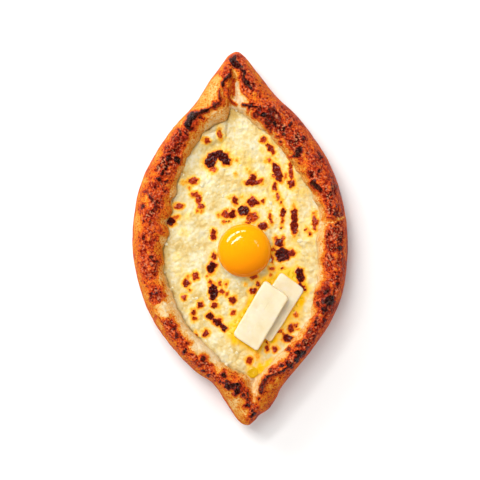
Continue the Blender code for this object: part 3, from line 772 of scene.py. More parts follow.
def crust_material():
    """Baked wheat crust, browned dry by a very hot oven. To the eye it is matt where pale, dully
    shiny where browned, and glossy where charred."""
    material, shader, add = new_material("baked wheat crust")
    bake_in, char_in, relief_in, rugged_in, painted_foot_shade_in = (
        add("ShaderNodeAttribute", attribute_name=label).outputs["Fac"]
        for label in ("bake", "char", "relief", "rugged", "painted_foot_shade")
    )
    place = add("ShaderNodeTexCoord").outputs["Object"]

    # How far the speckle may sway the brownness: less on char and on the outer side. Real speckle
    # goes down to a tenth of a millimetre. The finest here is 0.8 mm, so that it still shows.
    plain = add("ShaderNodeMath", char_in, -0.9, 1.0, operation="MULTIPLY_ADD", use_clamp=True)
    topside = add("ShaderNodeMapRange", rugged_in, 0.0, 0.25, 0.5, 1.0)
    calm = add("ShaderNodeMath", plain, 0.6, 0.4, operation="MULTIPLY_ADD")
    reach = add("ShaderNodeMath", bake_in, 0.5, 0.36, operation="MULTIPLY_ADD")
    for factor in (calm, topside):
        reach = add("ShaderNodeMath", reach, factor, operation="MULTIPLY")
    value = bake_in
    for size, amount in ((5.0, 0.5), (2.0, 0.75), (0.8, 0.7)):
        speckle = add("ShaderNodeMath", noise_level(add, place, size), reach, operation="MULTIPLY")
        value = add("ShaderNodeMath", speckle, amount, value, operation="MULTIPLY_ADD")

    # Grains are paler and cracks darker, partly the crust's own colour and partly painted light and
    # shade, and small pale flecks are painted highlights
    crack = add("ShaderNodeMath", relief_in, plain, operation="MULTIPLY")
    value = add("ShaderNodeMath", crack, -0.22, value, operation="MULTIPLY_ADD")
    painted_fleck = add("ShaderNodeMapRange", noise_level(add, place, 1.6, 2.0), 0.07, 0.14)
    painted_fleck = add("ShaderNodeMath", painted_fleck, reach, operation="MULTIPLY")
    value = add("ShaderNodeMath", painted_fleck, -0.15, value, operation="MULTIPLY_ADD")

    # Rust-coloured freckles on the pale dough
    rust = add("ShaderNodeMapRange", noise_level(add, place, 1.3, 2.0), 0.03, 0.13, 0.0, 0.26)
    baked_enough = add("ShaderNodeMapRange", bake_in, 0.06, 0.18)
    pale = add("ShaderNodeMapRange", bake_in, 0.45, 0.6, 1.0, 0.0)
    for factor in (baked_enough, plain, topside):
        rust = add("ShaderNodeMath", rust, factor, operation="MULTIPLY")
    value = add("ShaderNodeMath", rust, pale, value, operation="MULTIPLY_ADD")
    browned = add("ShaderNodeValToRGB", value, stops=CRUST_RAMP)

    # Painted glints, pale spots of colour that stand for highlights on the browned crest, and painted
    # shade on the dough where it meets the cheese
    dark = add("ShaderNodeMapRange", bake_in, 0.42, 0.56, 0.0, 0.5)
    painted_glint = add("ShaderNodeMapRange", noise_level(add, place, 1.8, 1.0), 0.03, 0.18)
    for factor in (dark, plain):
        painted_glint = add("ShaderNodeMath", painted_glint, factor, operation="MULTIPLY")
    painted_glint = add("ShaderNodeMath", painted_glint, rugged_in, operation="MULTIPLY", use_clamp=True)
    colour = add("ShaderNodeMix", painted_glint, browned, linear("F6A070"), data_type="RGBA")
    colour = add("ShaderNodeMix", painted_foot_shade_in, colour, linear("AC7418"), data_type="RGBA")

    grain = add("ShaderNodeTexNoise", sockets={"Vector": place, "Scale": 1 / (0.9 * MM), "Detail": 4.0})
    rough = add("ShaderNodeBump", sockets={"Height": grain, "Strength": 1.0, "Distance": 1.0 * MM})
    feed(shader, {
        "Base Color": colour,
        "Roughness": add("ShaderNodeMapRange", value, 0.3, 0.85, 0.8, 0.35),
        "Specular IOR Level": 0.05,
        "Coat Weight": add("ShaderNodeMapRange", char_in, 0.5, 1.0, 0.0, 0.3),
        "Coat Roughness": 0.14,
        "Normal": rough,
    })
    return material


baked_crust = crust_material()
print("%s: %d nodes" % (baked_crust.name, len(baked_crust.node_tree.nodes)))


# %% Build the bread
def grid_faces(rings_count, around):
    """Quads between closed rings that follow each other."""
    k = np.arange(around)
    after = (k + 1) % around
    ring_faces = np.stack([k, after, after + around, k + around], 1)
    return [face for r in range(rings_count - 1) for face in (ring_faces + r * around).tolist()]


def cap(ring_start, around, centre, faces_up):
    """A fan of triangles that closes a ring with a centre point."""
    k = np.arange(around)
    pair = (ring_start + k, ring_start + (k + 1) % around)
    pair = pair if faces_up else pair[::-1]
    return [(int(a), int(b), centre) for a, b in zip(*pair)]


faces = grid_faces(RINGS, STATIONS)
faces += cap(0, STATIONS, len(points), False)
faces += cap((RINGS - 1) * STATIONS, STATIONS, len(points) + 1, True)
points = np.vstack([points, [0, 0, FLOOR_HEIGHT], [0, 0, 0]])
fields = {"bake": bake, "char": char, "rugged": rugged, "painted_foot_shade": np.clip(painted_foot_shade, 0, 1)}
fields = {label: np.append(values, [0.0, 0.0]) for label, values in fields.items()}
bread_base = mesh_object("bread_base", points, faces, **fields)
bread = grow(
    "bread", bread_base, oven_relief, Material=baked_crust, Seed=3,
    **{"Lump size": 9 * MM, "Lump height": 2.0 * MM, "Grain size": 5.0 * MM, "Grain height": 1.0 * MM,
       "Fine size": 2.2 * MM, "Fine height": 0.5 * MM, "Blister size": 2.6 * MM,
       "Blister height": 0.8 * MM, "Still below": 0.5 * MM},
)
bpy.data.objects.remove(bread_base)
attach(bread, "root")
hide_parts("bread_boat")

# %% [markdown]
# ## Cheese
# The filling is fresh curd cheese that melted, bubbled and set in low waves. It is a height field:
# rows run from the left bank to the right, each with the same number of points, so the grid fits
# the lens shape with no waste. In places its skin has sunk along the bank, which leaves the thin
# crack that shows where bread and cheese part. Its darkness comes partly from that dip and partly
# from painted shade in the cheese's colour.

# %% Sizes of the filling
ROWS = 420
COLUMNS = 220
YOLK_CENTRE = tuple((a + b) / 2 / MM for a, b in zip(*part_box("egg_yolk")))[:2]
YOLK_RADIUS = (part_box("egg_yolk")[1].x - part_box("egg_yolk")[0].x) / 2 / MM
YOLK_DOME = 10.5  # its height above its widest level
YOLK_BELLY = 7.5  # its depth below it
YOLK_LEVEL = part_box("egg_yolk")[1].z / MM - YOLK_DOME
YOLK_SLIP = 0.3  # how far it has slid to the right
GAP = 0.25  # between the cheese and what lies on it
PAT_LONG, PAT_WIDE, PAT_THICK, PAT_CORNER = 47.0, 22.0, 5.0, 2.4
PAT_SKEW = math.radians(-4.0)
PAT_TURN = {"butter_pat_lower": math.radians(-122.5), "butter_pat_upper": math.radians(-120.3)}
UPPER_TILT = math.radians(5.5)
UPPER_RISES_TOWARDS = math.radians(32.0)
MOUND_CENTRE, MOUND_HEIGHT, MOUND_RADIUS = (-1.6, -69.9), 2.0, 10.0
LUMP_CENTRE, LUMP_HEIGHT, LUMP_SLOPE = (-20, 76), 3.2, 0.28
LANE = [(-9.5, 92), (-10, 84), (-10.3, 76)]  # beside the lump
CRACK = [(-5, 97), (-8, 94), (-10.5, 89), (-19, 85)]  # where the skin has parted all along the bank
COLLAR_HEIGHT, COLLAR_WIDTH = 2.4, 2.2  # of the cheese round the yolk
print("yolk level: %.1f mm" % YOLK_LEVEL)

# %% The cheese's toasted spots
# x, y, width, height, lean in degrees to the right, depth
CHEESE_MARKS = [
    (-25, 73, 5, 4.5, 0, 0.85), (-15, 78, 3.5, 7, -10, 0.8), (-22.8, 57.2, 8, 7.5, 40, 1.0),
    (-20.5, 60.8, 7, 6.5, 20, 1.0), (-16.5, 62.8, 8, 6, 0, 1.0), (-12.2, 61, 8, 7, 0, 1.0),
    (-10.3, 58, 6.5, 6.5, 0, 1.0), (-20, 52, 5, 4, 0, 0.78), (-35, 43, 7, 5, 0, 0.85),
    (-40, 42, 3, 2.6, 0, 0.6), (-43, 41.5, 2.6, 2.4, 0, 0.55), (-37.5, 37.5, 2, 2, 0, 0.7),
    (-34, 33, 5, 4, 0, 0.85), (-31, 29, 4, 8, 0, 0.85), (-29.5, 24, 5, 4, 0, 0.85),
    (-29, 20.5, 2, 2, 0, 0.75), (-32, 20.5, 2, 2, 0, 0.75), (-45.5, 24, 6, 4, 0, 0.85),
    (-51.5, 13, 6, 6, 0, 1.0), (-48, 16, 4, 3, 0, 0.75), (-42, 4.5, 6, 4, 0, 0.35),
    (-20, 3, 4.5, 7, 0, 0.9), (-2.5, 58.5, 2, 2, 0, 0.7), (-3, 48, 1.8, 1.8, 0, 0.6),
    (-4, 28, 3.5, 6, -15, 0.9), (-8, 30.5, 1.6, 1.6, 0, 0.6), (-11, 18, 6, 5, 0, 0.85),
    (-5.5, 18, 5, 5.5, 0, 0.95), (-16.5, 17.5, 2.2, 2.2, 0, 0.7), (-12, 13, 2.2, 2, 0, 0.75),
    (-8.5, 13, 2, 2, 0, 0.75), (-9.5, 22, 2, 2, 0, 0.7), (2.5, 21, 8, 7, 0, 1.0),
    (9, 16, 8, 7, 0, 0.82), (6, 12, 4, 2, 0, 0.8), (17, 9.5, 7, 5, 0, 0.92),
    (9.5, 27, 9, 5, 0, 0.92), (9.5, 30, 3, 3, 0, 0.85), (17, 28, 3, 3, 0, 0.85),
    (1.5, 31, 1.6, 1.6, 0, 0.6), (9, 42, 11, 4, 0, 0.92), (10, 45.5, 4, 6, 0, 0.92),
    (15, 43, 4, 4, 0, 0.85), (5.5, 52, 1.8, 1.8, 0, 0.6), (7, 50, 1.6, 1.6, 0, 0.6),
    (7, 58, 3, 4, 0, 0.35), (17.5, 74, 4.5, 4.5, 0, 0.85), (23, 67, 4, 9, -35, 0.88),
    (16, 66.5, 2, 3, 0, 0.45), (21.5, 58.5, 3, 3, 0, 0.8), (28, 49.5, 6, 15, -22, 0.93),
    (25, 46.5, 3, 3, 0, 0.75), (38, 50.5, 3, 13, -4, 0.85), (38.5, 41, 5, 6, 0, 0.9),
    (34, 46.5, 2, 4, 0, 0.75), (26, 39, 3.5, 6, 0, 0.9), (28, 32, 2.5, 5, 0, 0.85),
    (30.5, 27, 2.2, 3, 0, 0.8), (32, 19.5, 3.5, 8, 0, 0.92), (31.5, 13, 2.2, 4, 0, 0.85),
    (31, 8, 2, 2, 0, 0.8), (40.5, 13, 5, 20, 0, 0.93), (23, 15, 2.5, 6.5, -15, 0.85),
    (56, 11.5, 4, 11, 0, 0.85), (55.5, 19, 1.8, 1.8, 0, 0.7), (49.5, 7, 2.2, 3, 0, 0.8),
    (52, 3.5, 3, 3, 0, 0.85), (47.5, 35, 4, 3, 0, 0.35), (27, 0, 3.5, 3.5, 0, 0.75),
    (32, 0.5, 2.2, 3, 0, 0.8), (29.5, -3.5, 6.5, 6, 0, 0.95), (25, -8, 4, 3, 0, 0.8),
    (31.5, -12, 10, 10, 0, 1.0), (38.5, -11, 6, 5, 0, 0.9), (24, -15, 2.2, 7, 0, 0.8),
    (23.5, -22.5, 4.5, 3, 0, 0.85), (31.5, -22, 3, 2.5, 0, 0.8), (23, -27, 2, 2, 0, 0.75),
    (10, -28.5, 5, 4, 0, 0.85), (45, -27, 6, 11, -20, 1.0), (46.5, -35.5, 2.4, 8, -38, 0.95),
    (4.5, -34, 1.8, 1.8, 0, 0.6), (13.5, -34, 3, 4, 0, 0.85), (10, -39, 6, 4, 0, 0.9),
    (42, -57, 3, 4, 0, 0.75), (42, -64.5, 2.5, 2.5, 0, 0.8), (43, -68, 2.2, 2.2, 0, 0.75),
    (38.5, -67, 4.5, 6, 0, 0.9), (30, -69.5, 3, 2.5, 0, 0.8), (32.5, -71.5, 2.2, 2.5, 0, 0.8),
    (35.5, -74.5, 7, 6, 0, 0.97), (19.5, -78, 2, 2, 0, 0.85), (20.5, -82, 3, 5, 10, 0.9),
    (26.5, -82.5, 4, 4, 0, 0.88), (7, -91, 4.5, 5, 0, 0.85), (13, -87.5, 3.5, 5, 0, 0.6),
    (2, -81.5, 3, 3, 0, 0.3), (-19.5, -13.5, 4, 5, 0, 0.88), (-21.5, -22, 5.5, 9, 5, 1.0),
    (-18.5, -20.5, 3, 3, 0, 0.85), (-24, -28.5, 2, 2, 0, 0.75), (-33, -28, 5, 6, 0, 0.88),
    (-40, -33, 5, 6, 0, 0.92), (-38.5, -28, 2, 2, 0, 0.7), (-37.5, -38, 2.2, 2.2, 0, 0.75),
    (-42, -44, 3.5, 3.5, 0, 0.85), (-30, -49.5, 4, 5, 0, 0.92), (-34.5, -55, 4, 4, 0, 0.88),
    (-34, -59.5, 4, 4, 0, 0.85), (-20, -40, 6.5, 12, 0, 1.0), (-22, -33, 3, 3, 0, 0.85),
    (-14, -40, 4, 3.5, 0, 0.88), (-10, -41.5, 2.5, 3, 0, 0.8), (-15, -34, 2.5, 3.5, 0, 0.85),
    (-10.5, -34, 2.2, 3, 0, 0.8), (-19, -50, 4.5, 3.5, 0, 0.88), (-5.5, -46, 5, 5, 0, 0.9),
    (-5, -55.5, 3.5, 3.5, 0, 0.85), (-22.5, -58, 5, 5, -30, 0.97), (-17.5, -62.5, 8, 4.5, 35, 0.97),
    (-12.5, -66.5, 4.5, 6, -40, 0.97), (-15.5, -60.5, 3, 3, 0, 0.88),
    (-25.5, -70.5, 4.5, 4.5, 0, 0.9), (-33, -72, 2, 3, 0, 0.75), (-47, -14, 5, 5, 0, 0.3),
    (-47, -24, 5, 5, 0, 0.28), (-39, 16, 4, 4, 0, 0.3),
]
print("cheese marks:", len(CHEESE_MARKS))


# %% The cheese's grid
def bank(points_xy, level):
    """Where a bank crosses these levels of y. The bank's points run from one tip to the other."""
    order = np.argsort(points_xy[:, 1])
    return np.interp(level, points_xy[order, 1], points_xy[order, 0])


right_bank, left_bank = inner[: STATIONS_A_SIDE + 1], inner[STATIONS_A_SIDE:]
levels = np.linspace(inner[:, 1].min() + 0.9, inner[:, 1].max() - 0.9, ROWS)
from_x, to_x = bank(left_bank, levels) - 0.1, bank(right_bank, levels) + 0.5  # a little into the bread
part = np.linspace(0, 1, COLUMNS)
grid_x = from_x[:, None] + (to_x - from_x)[:, None] * part
grid_y = np.repeat(levels[:, None], COLUMNS, 1)
flat = np.column_stack([grid_x.ravel(), grid_y.ravel()])
flat_3d = np.column_stack([flat, np.zeros(len(flat))])
bank_gap = distance_to(np.vstack([inner, inner[:1]])[::5], flat)
print("cheese: %.0f x %.0f mm, %d points" % (np.ptp(flat[:, 0]), np.ptp(flat[:, 1]), len(flat)))

# %% [markdown]
# The curd's surface is a sum of simple shapes: the filling's own waves, soft lumps from noise, a
# mound of curd towards the lower tip, a lump with a lane beside it near the upper one, a crack
# along part of the bank, a collar that the yolk pushes up round itself, and a small rise under
# every toasted bubble. Where the yolk or the butter lies, the surface is held just below it, so
# that nothing pokes through.


# %% Cheese heights and toast
def pat_matrix(name):
    """Where a slice of butter's middle lies and how it is turned."""
    low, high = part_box(name)
    turn = Matrix.Rotation(PAT_TURN[name], 4, "Z")
    if name == "butter_pat_upper":
        level_line = UPPER_RISES_TOWARDS + math.pi / 2
        axis = Vector((math.cos(level_line), math.sin(level_line), 0))
        turn = Matrix.Rotation(-UPPER_TILT, 4, axis) @ turn
    return Matrix.Translation((low + high) / 2) @ turn


def under_pat(name, xy):
    """How high a slice's underside is over each point, and how far outside its outline the point
    lies, which is below 0 within it."""
    place = pat_matrix(name)
    down = place.to_3x3() @ Vector((0, 0, -1))
    base = place.translation / MM + down * PAT_THICK / 2
    dx, dy = xy[:, 0] - base.x, xy[:, 1] - base.y
    dz = -(down.x * dx + down.y * dy) / down.z
    spread = np.column_stack([dx, dy, dz]) @ np.array(place.to_3x3().inverted()).T
    x_local = spread[:, 0] + spread[:, 1] * math.tan(PAT_SKEW)
    across = np.abs(x_local) - PAT_LONG / 2
    beside = np.abs(spread[:, 1]) - PAT_WIDE / 2
    outside = np.hypot(np.maximum(across, 0), np.maximum(beside, 0))
    return base.z + dz, outside + np.minimum(np.maximum(across, beside), 0)


def soft_noise(xy, size, seed):
    """Smooth noise of about this size in mm, between -1 and 1."""
    return np.array([noise.noise(Vector((x / size, y / size, seed * 7.7))) for x, y in xy])


x, y = flat.T
waves = 0.7 * (np.sin(x / 9.0 + 0.8) * np.cos(y / 11.0) + 0.6 * np.sin((x + y) / 6.5))
curds = 1.1 * np.abs(soft_noise(flat, 8.0, 1)) + 0.7 * np.abs(soft_noise(flat, 3.6, 2)) - 0.4
mound = MOUND_HEIGHT * np.exp(-((flat - MOUND_CENTRE) ** 2).sum(1) / MOUND_RADIUS**2)
lump_x, lump_y = x - LUMP_CENTRE[0], y - LUMP_CENTRE[1]
lump = LUMP_HEIGHT * np.exp(-((lump_x / 9.5) ** 4 + ((lump_y - lump_x * LUMP_SLOPE) / 5.0) ** 4))
lane = bump(LANE, 0.8, flat)
seam = bump(CRACK, 3.0, flat)
patchy = 1.2 * soft_noise(flat, 14.0, 12) + 0.8 * soft_noise(flat, 4.0, 13)
seam = np.clip(seam + np.clip(0.3 - 0.01 * x + patchy, 0, 1) * np.interp(x, (-10, 25), (1, 0.3)), 0, 1)
z = CHEESE_LEVEL + waves + curds + mound + lump - 0.9 * lane
z += 0.6 * np.exp(-bank_gap / 5.0) - 1.2 * seam * np.exp(-((bank_gap / 0.7) ** 2))

bent = flat + swirl(flat_3d, 2.8, 1.4, 5) + swirl(flat_3d, 1.2, 0.4, 6)
toast, glow = scorch(bent, CHEESE_MARKS, edge=1.6, halo=3.1, swell=0.6)
_, warmth = scorch(bent, CHEESE_MARKS, edge=1.0, halo=7.5, swell=0.5)
zone = np.clip(0.45 + 1.2 * soft_noise(flat, 16.0, 4) + 0.012 * x + 0.004 * y, 0, 1)
freckle = np.clip((soft_noise(bent, 2.2, 9) - 0.12) * 3.2, 0, 1) * zone * (0.25 + 0.75 * warmth)
browned = np.maximum.reduce([0.9 * toast**2.2, 0.33 * glow, 0.24 * warmth * zone, 0.34 * freckle])
z += 0.7 * toast

from_yolk = np.hypot(x - YOLK_CENTRE[0], y - YOLK_CENTRE[1])
z += COLLAR_HEIGHT * np.exp(-(((from_yolk - YOLK_RADIUS) / COLLAR_WIDTH) ** 2))
inside = np.sqrt(np.clip(1 - (from_yolk / YOLK_RADIUS) ** 2, 0, 1))
belly = np.where(from_yolk < YOLK_RADIUS, YOLK_LEVEL - YOLK_BELLY * inside - GAP, np.inf)
z = np.minimum(z, belly)
beside_pat = np.full(len(flat), np.inf)
for name in PAT_TURN:
    level, outside = under_pat(name, flat)
    z = np.where(outside < -0.5, np.minimum(z, level - GAP), z)
    beside_pat = np.minimum(beside_pat, np.maximum(outside, 0))
print("cheese heights: %.1f to %.1f mm" % (z.min(), z.max()))

# %% [markdown]
# ## Melted butter
# Butter on hot cheese melts from its edges. The melt soaks the cheese yellow around each slice and
# runs down to the low places. So the field fades with distance from the slices, and soft patches
# are added where it has gathered. It has two uses: the cheese material reads it as a stain, and
# further down it makes a thin glossy film of its own.

# %% Where the melt lies
# x, y, reach across, reach along, lean in degrees to the right, strength
MELT_PATCHES = [
    (38, -27, 6, 7, 30, 0.95), (49, -36, 3, 6, -20, 0.85), (31, -22, 5, 2.4, 0, 0.6),
    (22, -30, 5, 3, -30, 0.6), (-4, -66, 5, 10, 25, 0.9), (-2, -76, 5, 4, -50, 0.55),
    (44, -50, 3.6, 9, 28, 0.7), (9.5, -99.5, 4.8, 4.8, 0, 1.0), (15.5, -97.5, 6, 2.6, 75, 0.85),
    (8.5, -104, 2.6, 2, 0, 1.0), (21.5, -93, 2.6, 6, 40, 0.7), (8, -92, 2.6, 5, 0, 0.5),
]
MELT_REACH = 5.4  # how far the stain spreads from a slice
ragged = 0.75 + 0.5 * soft_noise(flat, 6.0, 15)
melt = np.exp(-((beside_pat / (MELT_REACH * ragged)) ** 1.5))
loose = flat + swirl(flat_3d, 5.0, 1.6, 8) + swirl(flat_3d, 2.0, 0.8, 9)
for near, strength in patch_weights(loose, MELT_PATCHES):
    melt = 1 - (1 - melt) * (1 - strength * near)
print("melt covers %.0f%% of the cheese" % (100 * (melt > 0.4).mean()))

# %% [markdown]
# ## Cheese material
# Baked white cheese scatters light inside it, so it looks soft and has no hard shadows. Its skin
# is moist. Toasted spots run from butter yellow through orange to a dark, glossy maroon, because
# the milk sugar there has caramelised. The stain of melted butter is a second, wetter colour. A
# third, darker colour is painted shade in the crack along the bank, and the curd's hollows are
# painted a little darker too.


# %% Cheese material
CURD_RAMP = [(0.34, "DFD5B4"), (0.47, "DACB9B"), (0.6, "D6BE80"), (0.76, "C9A65A")]
TOAST_RAMP = [
    (0.0, "F2DC8C"), (0.12, "F2CA50"), (0.24, "EEAA28"), (0.36, "E07A18"), (0.5, "C8500E"),
    (0.64, "9E2808"), (0.77, "621004"), (0.9, "300503"),
]


def cheese_material():
    """Baked white curd cheese, its skin bubbled and toasted by the oven. To the eye it is soft and
    moist, with glossy caramelised spots and a wet stain of butter."""
    material, shader, add = new_material("baked white curd cheese")
    toast_in, melt_in, relief_in, crack_shade_in = (
        add("ShaderNodeAttribute", attribute_name=label).outputs["Fac"]
        for label in ("toast", "melt", "relief", "seam")
    )
    place = add("ShaderNodeTexCoord").outputs["Object"]

    # Clouds of creamier and yellower curd, with painted shade that darkens its hollows
    cloud = noise_level(add, place, 13.0)
    cloud = add("ShaderNodeMath", relief_in, -0.3, cloud, operation="MULTIPLY_ADD")
    fine = add("ShaderNodeMath", noise_level(add, place, 2.2), 0.5, cloud, operation="MULTIPLY_ADD")
    shade = add("ShaderNodeMath", fine, 0.5, operation="ADD")
    curd = add("ShaderNodeValToRGB", shade, stops=CURD_RAMP)

    # Painted shade in the crack along the bank and the lane beside the lump, and the wet stain of
    # butter
    painted_crack_shade = add("ShaderNodeMix", crack_shade_in, curd, linear("966C1C"), data_type="RGBA")
    stain = add("ShaderNodeMapRange", melt_in, 0.08, 0.7)
    wet = add("ShaderNodeMix", stain, painted_crack_shade, linear("F0B808"), data_type="RGBA")

    # Toasted spots with frayed edges, which shine more the darker they are
    edge = add("ShaderNodeMath", toast_in, 1.2, 0.1, operation="MULTIPLY_ADD")
    frayed = add("ShaderNodeMath", noise_level(add, place, 1.2), edge, operation="MULTIPLY")
    value = add("ShaderNodeMath", frayed, 0.5, toast_in, operation="MULTIPLY_ADD")
    toasted = add("ShaderNodeValToRGB", value, stops=TOAST_RAMP)
    amount = add("ShaderNodeMapRange", value, 0.03, 0.22)
    dry = add("ShaderNodeMapRange", value, 0.2, 0.7, 0.45, 0.25)
    skin = add("ShaderNodeTexNoise", sockets={"Vector": place, "Scale": 1 / (1.5 * MM), "Detail": 4.0})
    rough = add("ShaderNodeBump", sockets={"Height": skin, "Strength": 0.18, "Distance": 0.6 * MM})
    feed(shader, {
        "Base Color": add("ShaderNodeMix", amount, wet, toasted, data_type="RGBA"),
        "Roughness": add("ShaderNodeMath", melt_in, -0.22, dry, operation="MULTIPLY_ADD"),
        "Specular IOR Level": 0.3,
        "Subsurface Weight": 0.08,
        "Subsurface Radius": (1.0, 0.7, 0.35),
        "Subsurface Scale": 1.2 * MM,
        "Normal": rough,
    })
    return material


baked_cheese = cheese_material()
print("%s: %d nodes" % (baked_cheese.name, len(baked_cheese.node_tree.nodes)))


# %% Build the cheese
def grid_cells(rows, columns):
    """The numbers of a grid's points, row by row, and its quads."""
    index = np.arange(rows * columns).reshape(rows, columns)
    quads = np.stack([index[:-1, :-1], index[:-1, 1:], index[1:, 1:], index[1:, :-1]], -1)
    return index, quads.reshape(-1, 4)


def closed_slab(top, rows, columns, floor_of):
    """Points and faces of a closed slab: a grid of top points, rings down its edge and a fan."""
    index, quads = grid_cells(rows, columns)
    quads = quads.tolist()
    rim = np.concatenate([index[0, :-1], index[:-1, -1], index[-1, :0:-1], index[:0:-1, 0]])
    count, before, shape = len(rim), rim, [top]
    start = rows * columns
    for lower in floor_of(top[rim]):
        now = np.arange(start, start + count)
        shape.append(lower)
        quads += np.stack([before, now, np.roll(now, -1), np.roll(before, -1)], 1).tolist()
        before, start = now, start + count
    shape.append(lower.mean(0, keepdims=True))
    quads += [(int(a), start, int(b)) for a, b in zip(before, np.roll(before, -1))]
    return np.vstack(shape), quads


def bowl_below(rim):
    """Rings from the cheese's edge down the hollow's wall to its floor."""
    for angle in np.radians([75, 50, 25, 0]):
        size = FLOOR_SHARE + (1 - FLOOR_SHARE) * math.sin(angle)
        depth = FLOOR_HEIGHT + 0.4 + (CHEESE_LEVEL - 2 - FLOOR_HEIGHT) * (1 - math.cos(angle))
        yield np.column_stack([rim[:, :2] * size * 0.995, np.full(len(rim), depth)])


cheese_points, cheese_faces = closed_slab(np.column_stack([flat, z]), ROWS, COLUMNS, bowl_below)
# Painted shade along the crack by the bank and in the lane beside the lump
painted_crack_shade = np.maximum(0.8 * seam * np.exp(-bank_gap / 1.3), 0.55 * lane)
calm = np.clip(beside_pat / 2, 0, 1) * (1 - 0.8 * np.clip(melt * 1.6 - 0.4, 0, 1))
bare = 1 - np.maximum(browned * 6, melt * 4)
fields = {"toast": browned, "char": toast, "melt": melt, "seam": painted_crack_shade, "rugged": calm, "bare": bare}
spare = np.zeros(len(cheese_points) - len(flat))
cheese_base = mesh_object(
    "cheese_base", cheese_points, cheese_faces,
    **{label: np.append(values, spare) for label, values in fields.items()},
)
cheese = grow(
    "cheese", cheese_base, oven_relief, Material=baked_cheese, Seed=8,
    **{"Lump size": 7 * MM, "Lump height": 0.7 * MM, "Grain size": 5.0 * MM, "Grain height": 0.45 * MM,
       "Fine size": 2.0 * MM, "Fine height": 0.1 * MM, "Blister size": 1.8 * MM,
       "Blister height": 0.7 * MM, "Still below": 19 * MM},
)
bpy.data.objects.remove(cheese_base)
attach(cheese, "root")
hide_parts("cheese_filling")

# %% [markdown]
# ## Egg yolk
# A raw yolk is a bag of liquid in a thin wet skin. It slumps to a low dome, flatter below than
# above. A turned profile gives that shape, and a little noise keeps it from being a perfect solid
# of revolution. It is cloudy inside, so light scatters through it. Its colour is also painted a
# deeper orange towards the lower right, as painted shade for the side away from the windows. The
# skin itself is as shiny as water, with an index of refraction of about 1.36.


# %% Yolk
YOLK_PAINTED_SHADE_RAMP = [(0.0, "E07A02"), (0.2, "F28F03"), (0.5, "F8A003"), (1.0, "F7AD04")]


def yolk_material():
    """Raw egg yolk in its own wet skin. To the eye it is as shiny as water over a cloudy liquid,
    and its colour deepens to orange down one side as painted shade."""
    material, shader, add = new_material("raw egg yolk")
    split = add("ShaderNodeSeparateXYZ", add("ShaderNodeTexCoord").outputs["Object"]).outputs
    # Painted shade: the colour deepens to orange towards the lower right, away from the windows
    lean = add("ShaderNodeMath", split["X"], -0.3, split["Y"], operation="MULTIPLY_ADD")
    low, high = ((YOLK_CENTRE[1] + side * YOLK_RADIUS) * MM for side in (-1, 1))
    along = add("ShaderNodeMapRange", lean, low, high)
    feed(shader, {
        "Base Color": add("ShaderNodeValToRGB", along, stops=YOLK_PAINTED_SHADE_RAMP),
        "Roughness": 0.05,
        "IOR": 1.36,
        "Subsurface Weight": 0.2,
        "Subsurface Radius": (1.0, 0.5, 0.1),
        "Subsurface Scale": 4 * MM,
        "Coat Weight": 0.5,
        "Coat Roughness": 0.03,
    })
    return material


def yolk_object():
    """The yolk: a round ball, with a dome and a belly of their own heights."""
    build = bmesh.new()
    bmesh.ops.create_uvsphere(build, u_segments=128, v_segments=64, radius=1.0)
    for vertex in build.verts:
        p = vertex.co
        wobble = 1.01 + 0.008 * noise.noise(p * 1.3 + Vector((4, 1, 2)))
        depth = YOLK_DOME if p.z > 0 else YOLK_BELLY
        vertex.co = Vector((
            YOLK_CENTRE[0] + YOLK_SLIP + p.x * YOLK_RADIUS * wobble,
            YOLK_CENTRE[1] + p.y * YOLK_RADIUS * wobble,
            YOLK_LEVEL + p.z * depth,
        )) * MM
    mesh = bpy.data.meshes.new("yolk")
    build.to_mesh(mesh)
    build.free()
    mesh.shade_smooth()
    mesh.materials.append(yolk_material())
    return new_object("yolk", mesh)


yolk = yolk_object()
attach(yolk, "root")
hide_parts("egg_yolk")
print("yolk: %.1f mm across" % (2 * YOLK_RADIUS))

# %% [markdown]
# ## Butter
# Each slice was cut cold from a small block and has just begun to soften: flat faces, rounded
# edges, and slightly wavy sides with a few pits. It is another stack of rings: the slice's outline
# at one inset after another, up the side, round the edge and in over the face. Butter is milk fat:
# pale, waxy and cloudy, so it gets strong scattering and a broad, weak shine.


# %% Butter
def butter_material():
    """Butter sliced cold with a knife. To the eye it is pale, waxy and cloudy, with a broad, weak
    shine."""
    material, shader, add = new_material("sliced butter")
    place = add("ShaderNodeTexCoord").outputs["Object"]
    cloud, fine = (
        add("ShaderNodeTexNoise", sockets={"Vector": place, "Scale": 1 / (size * MM), "Detail": 3.0})
        for size in (9, 1.2)
    )
    rough = add("ShaderNodeBump", sockets={"Height": fine, "Strength": 0.12, "Distance": 0.3 * MM})
    feed(shader, {
        "Base Color": add("ShaderNodeValToRGB", cloud, stops=[(0.3, "E1D1AA"), (0.6, "E8DCBF")]),
        "Roughness": 0.45,
        "IOR": 1.46,
        "Subsurface Weight": 0.85,
        "Subsurface Radius": (1.0, 0.85, 0.5),
        "Subsurface Scale": 5 * MM,
        "Normal": rough,
    })
    return material


PAT_EDGE = 1.1  # radius of the rounded edges
PAT_STATIONS = 160
PITS = [  # x, y, radius
    (-3, -5.5, 0.9), (-8, -4, 0.7), (6, -8, 1.0), (11, -7.5, 0.8), (2, 3, 0.6), (15, -2, 0.8),
]
PIT_DEPTH = 0.35


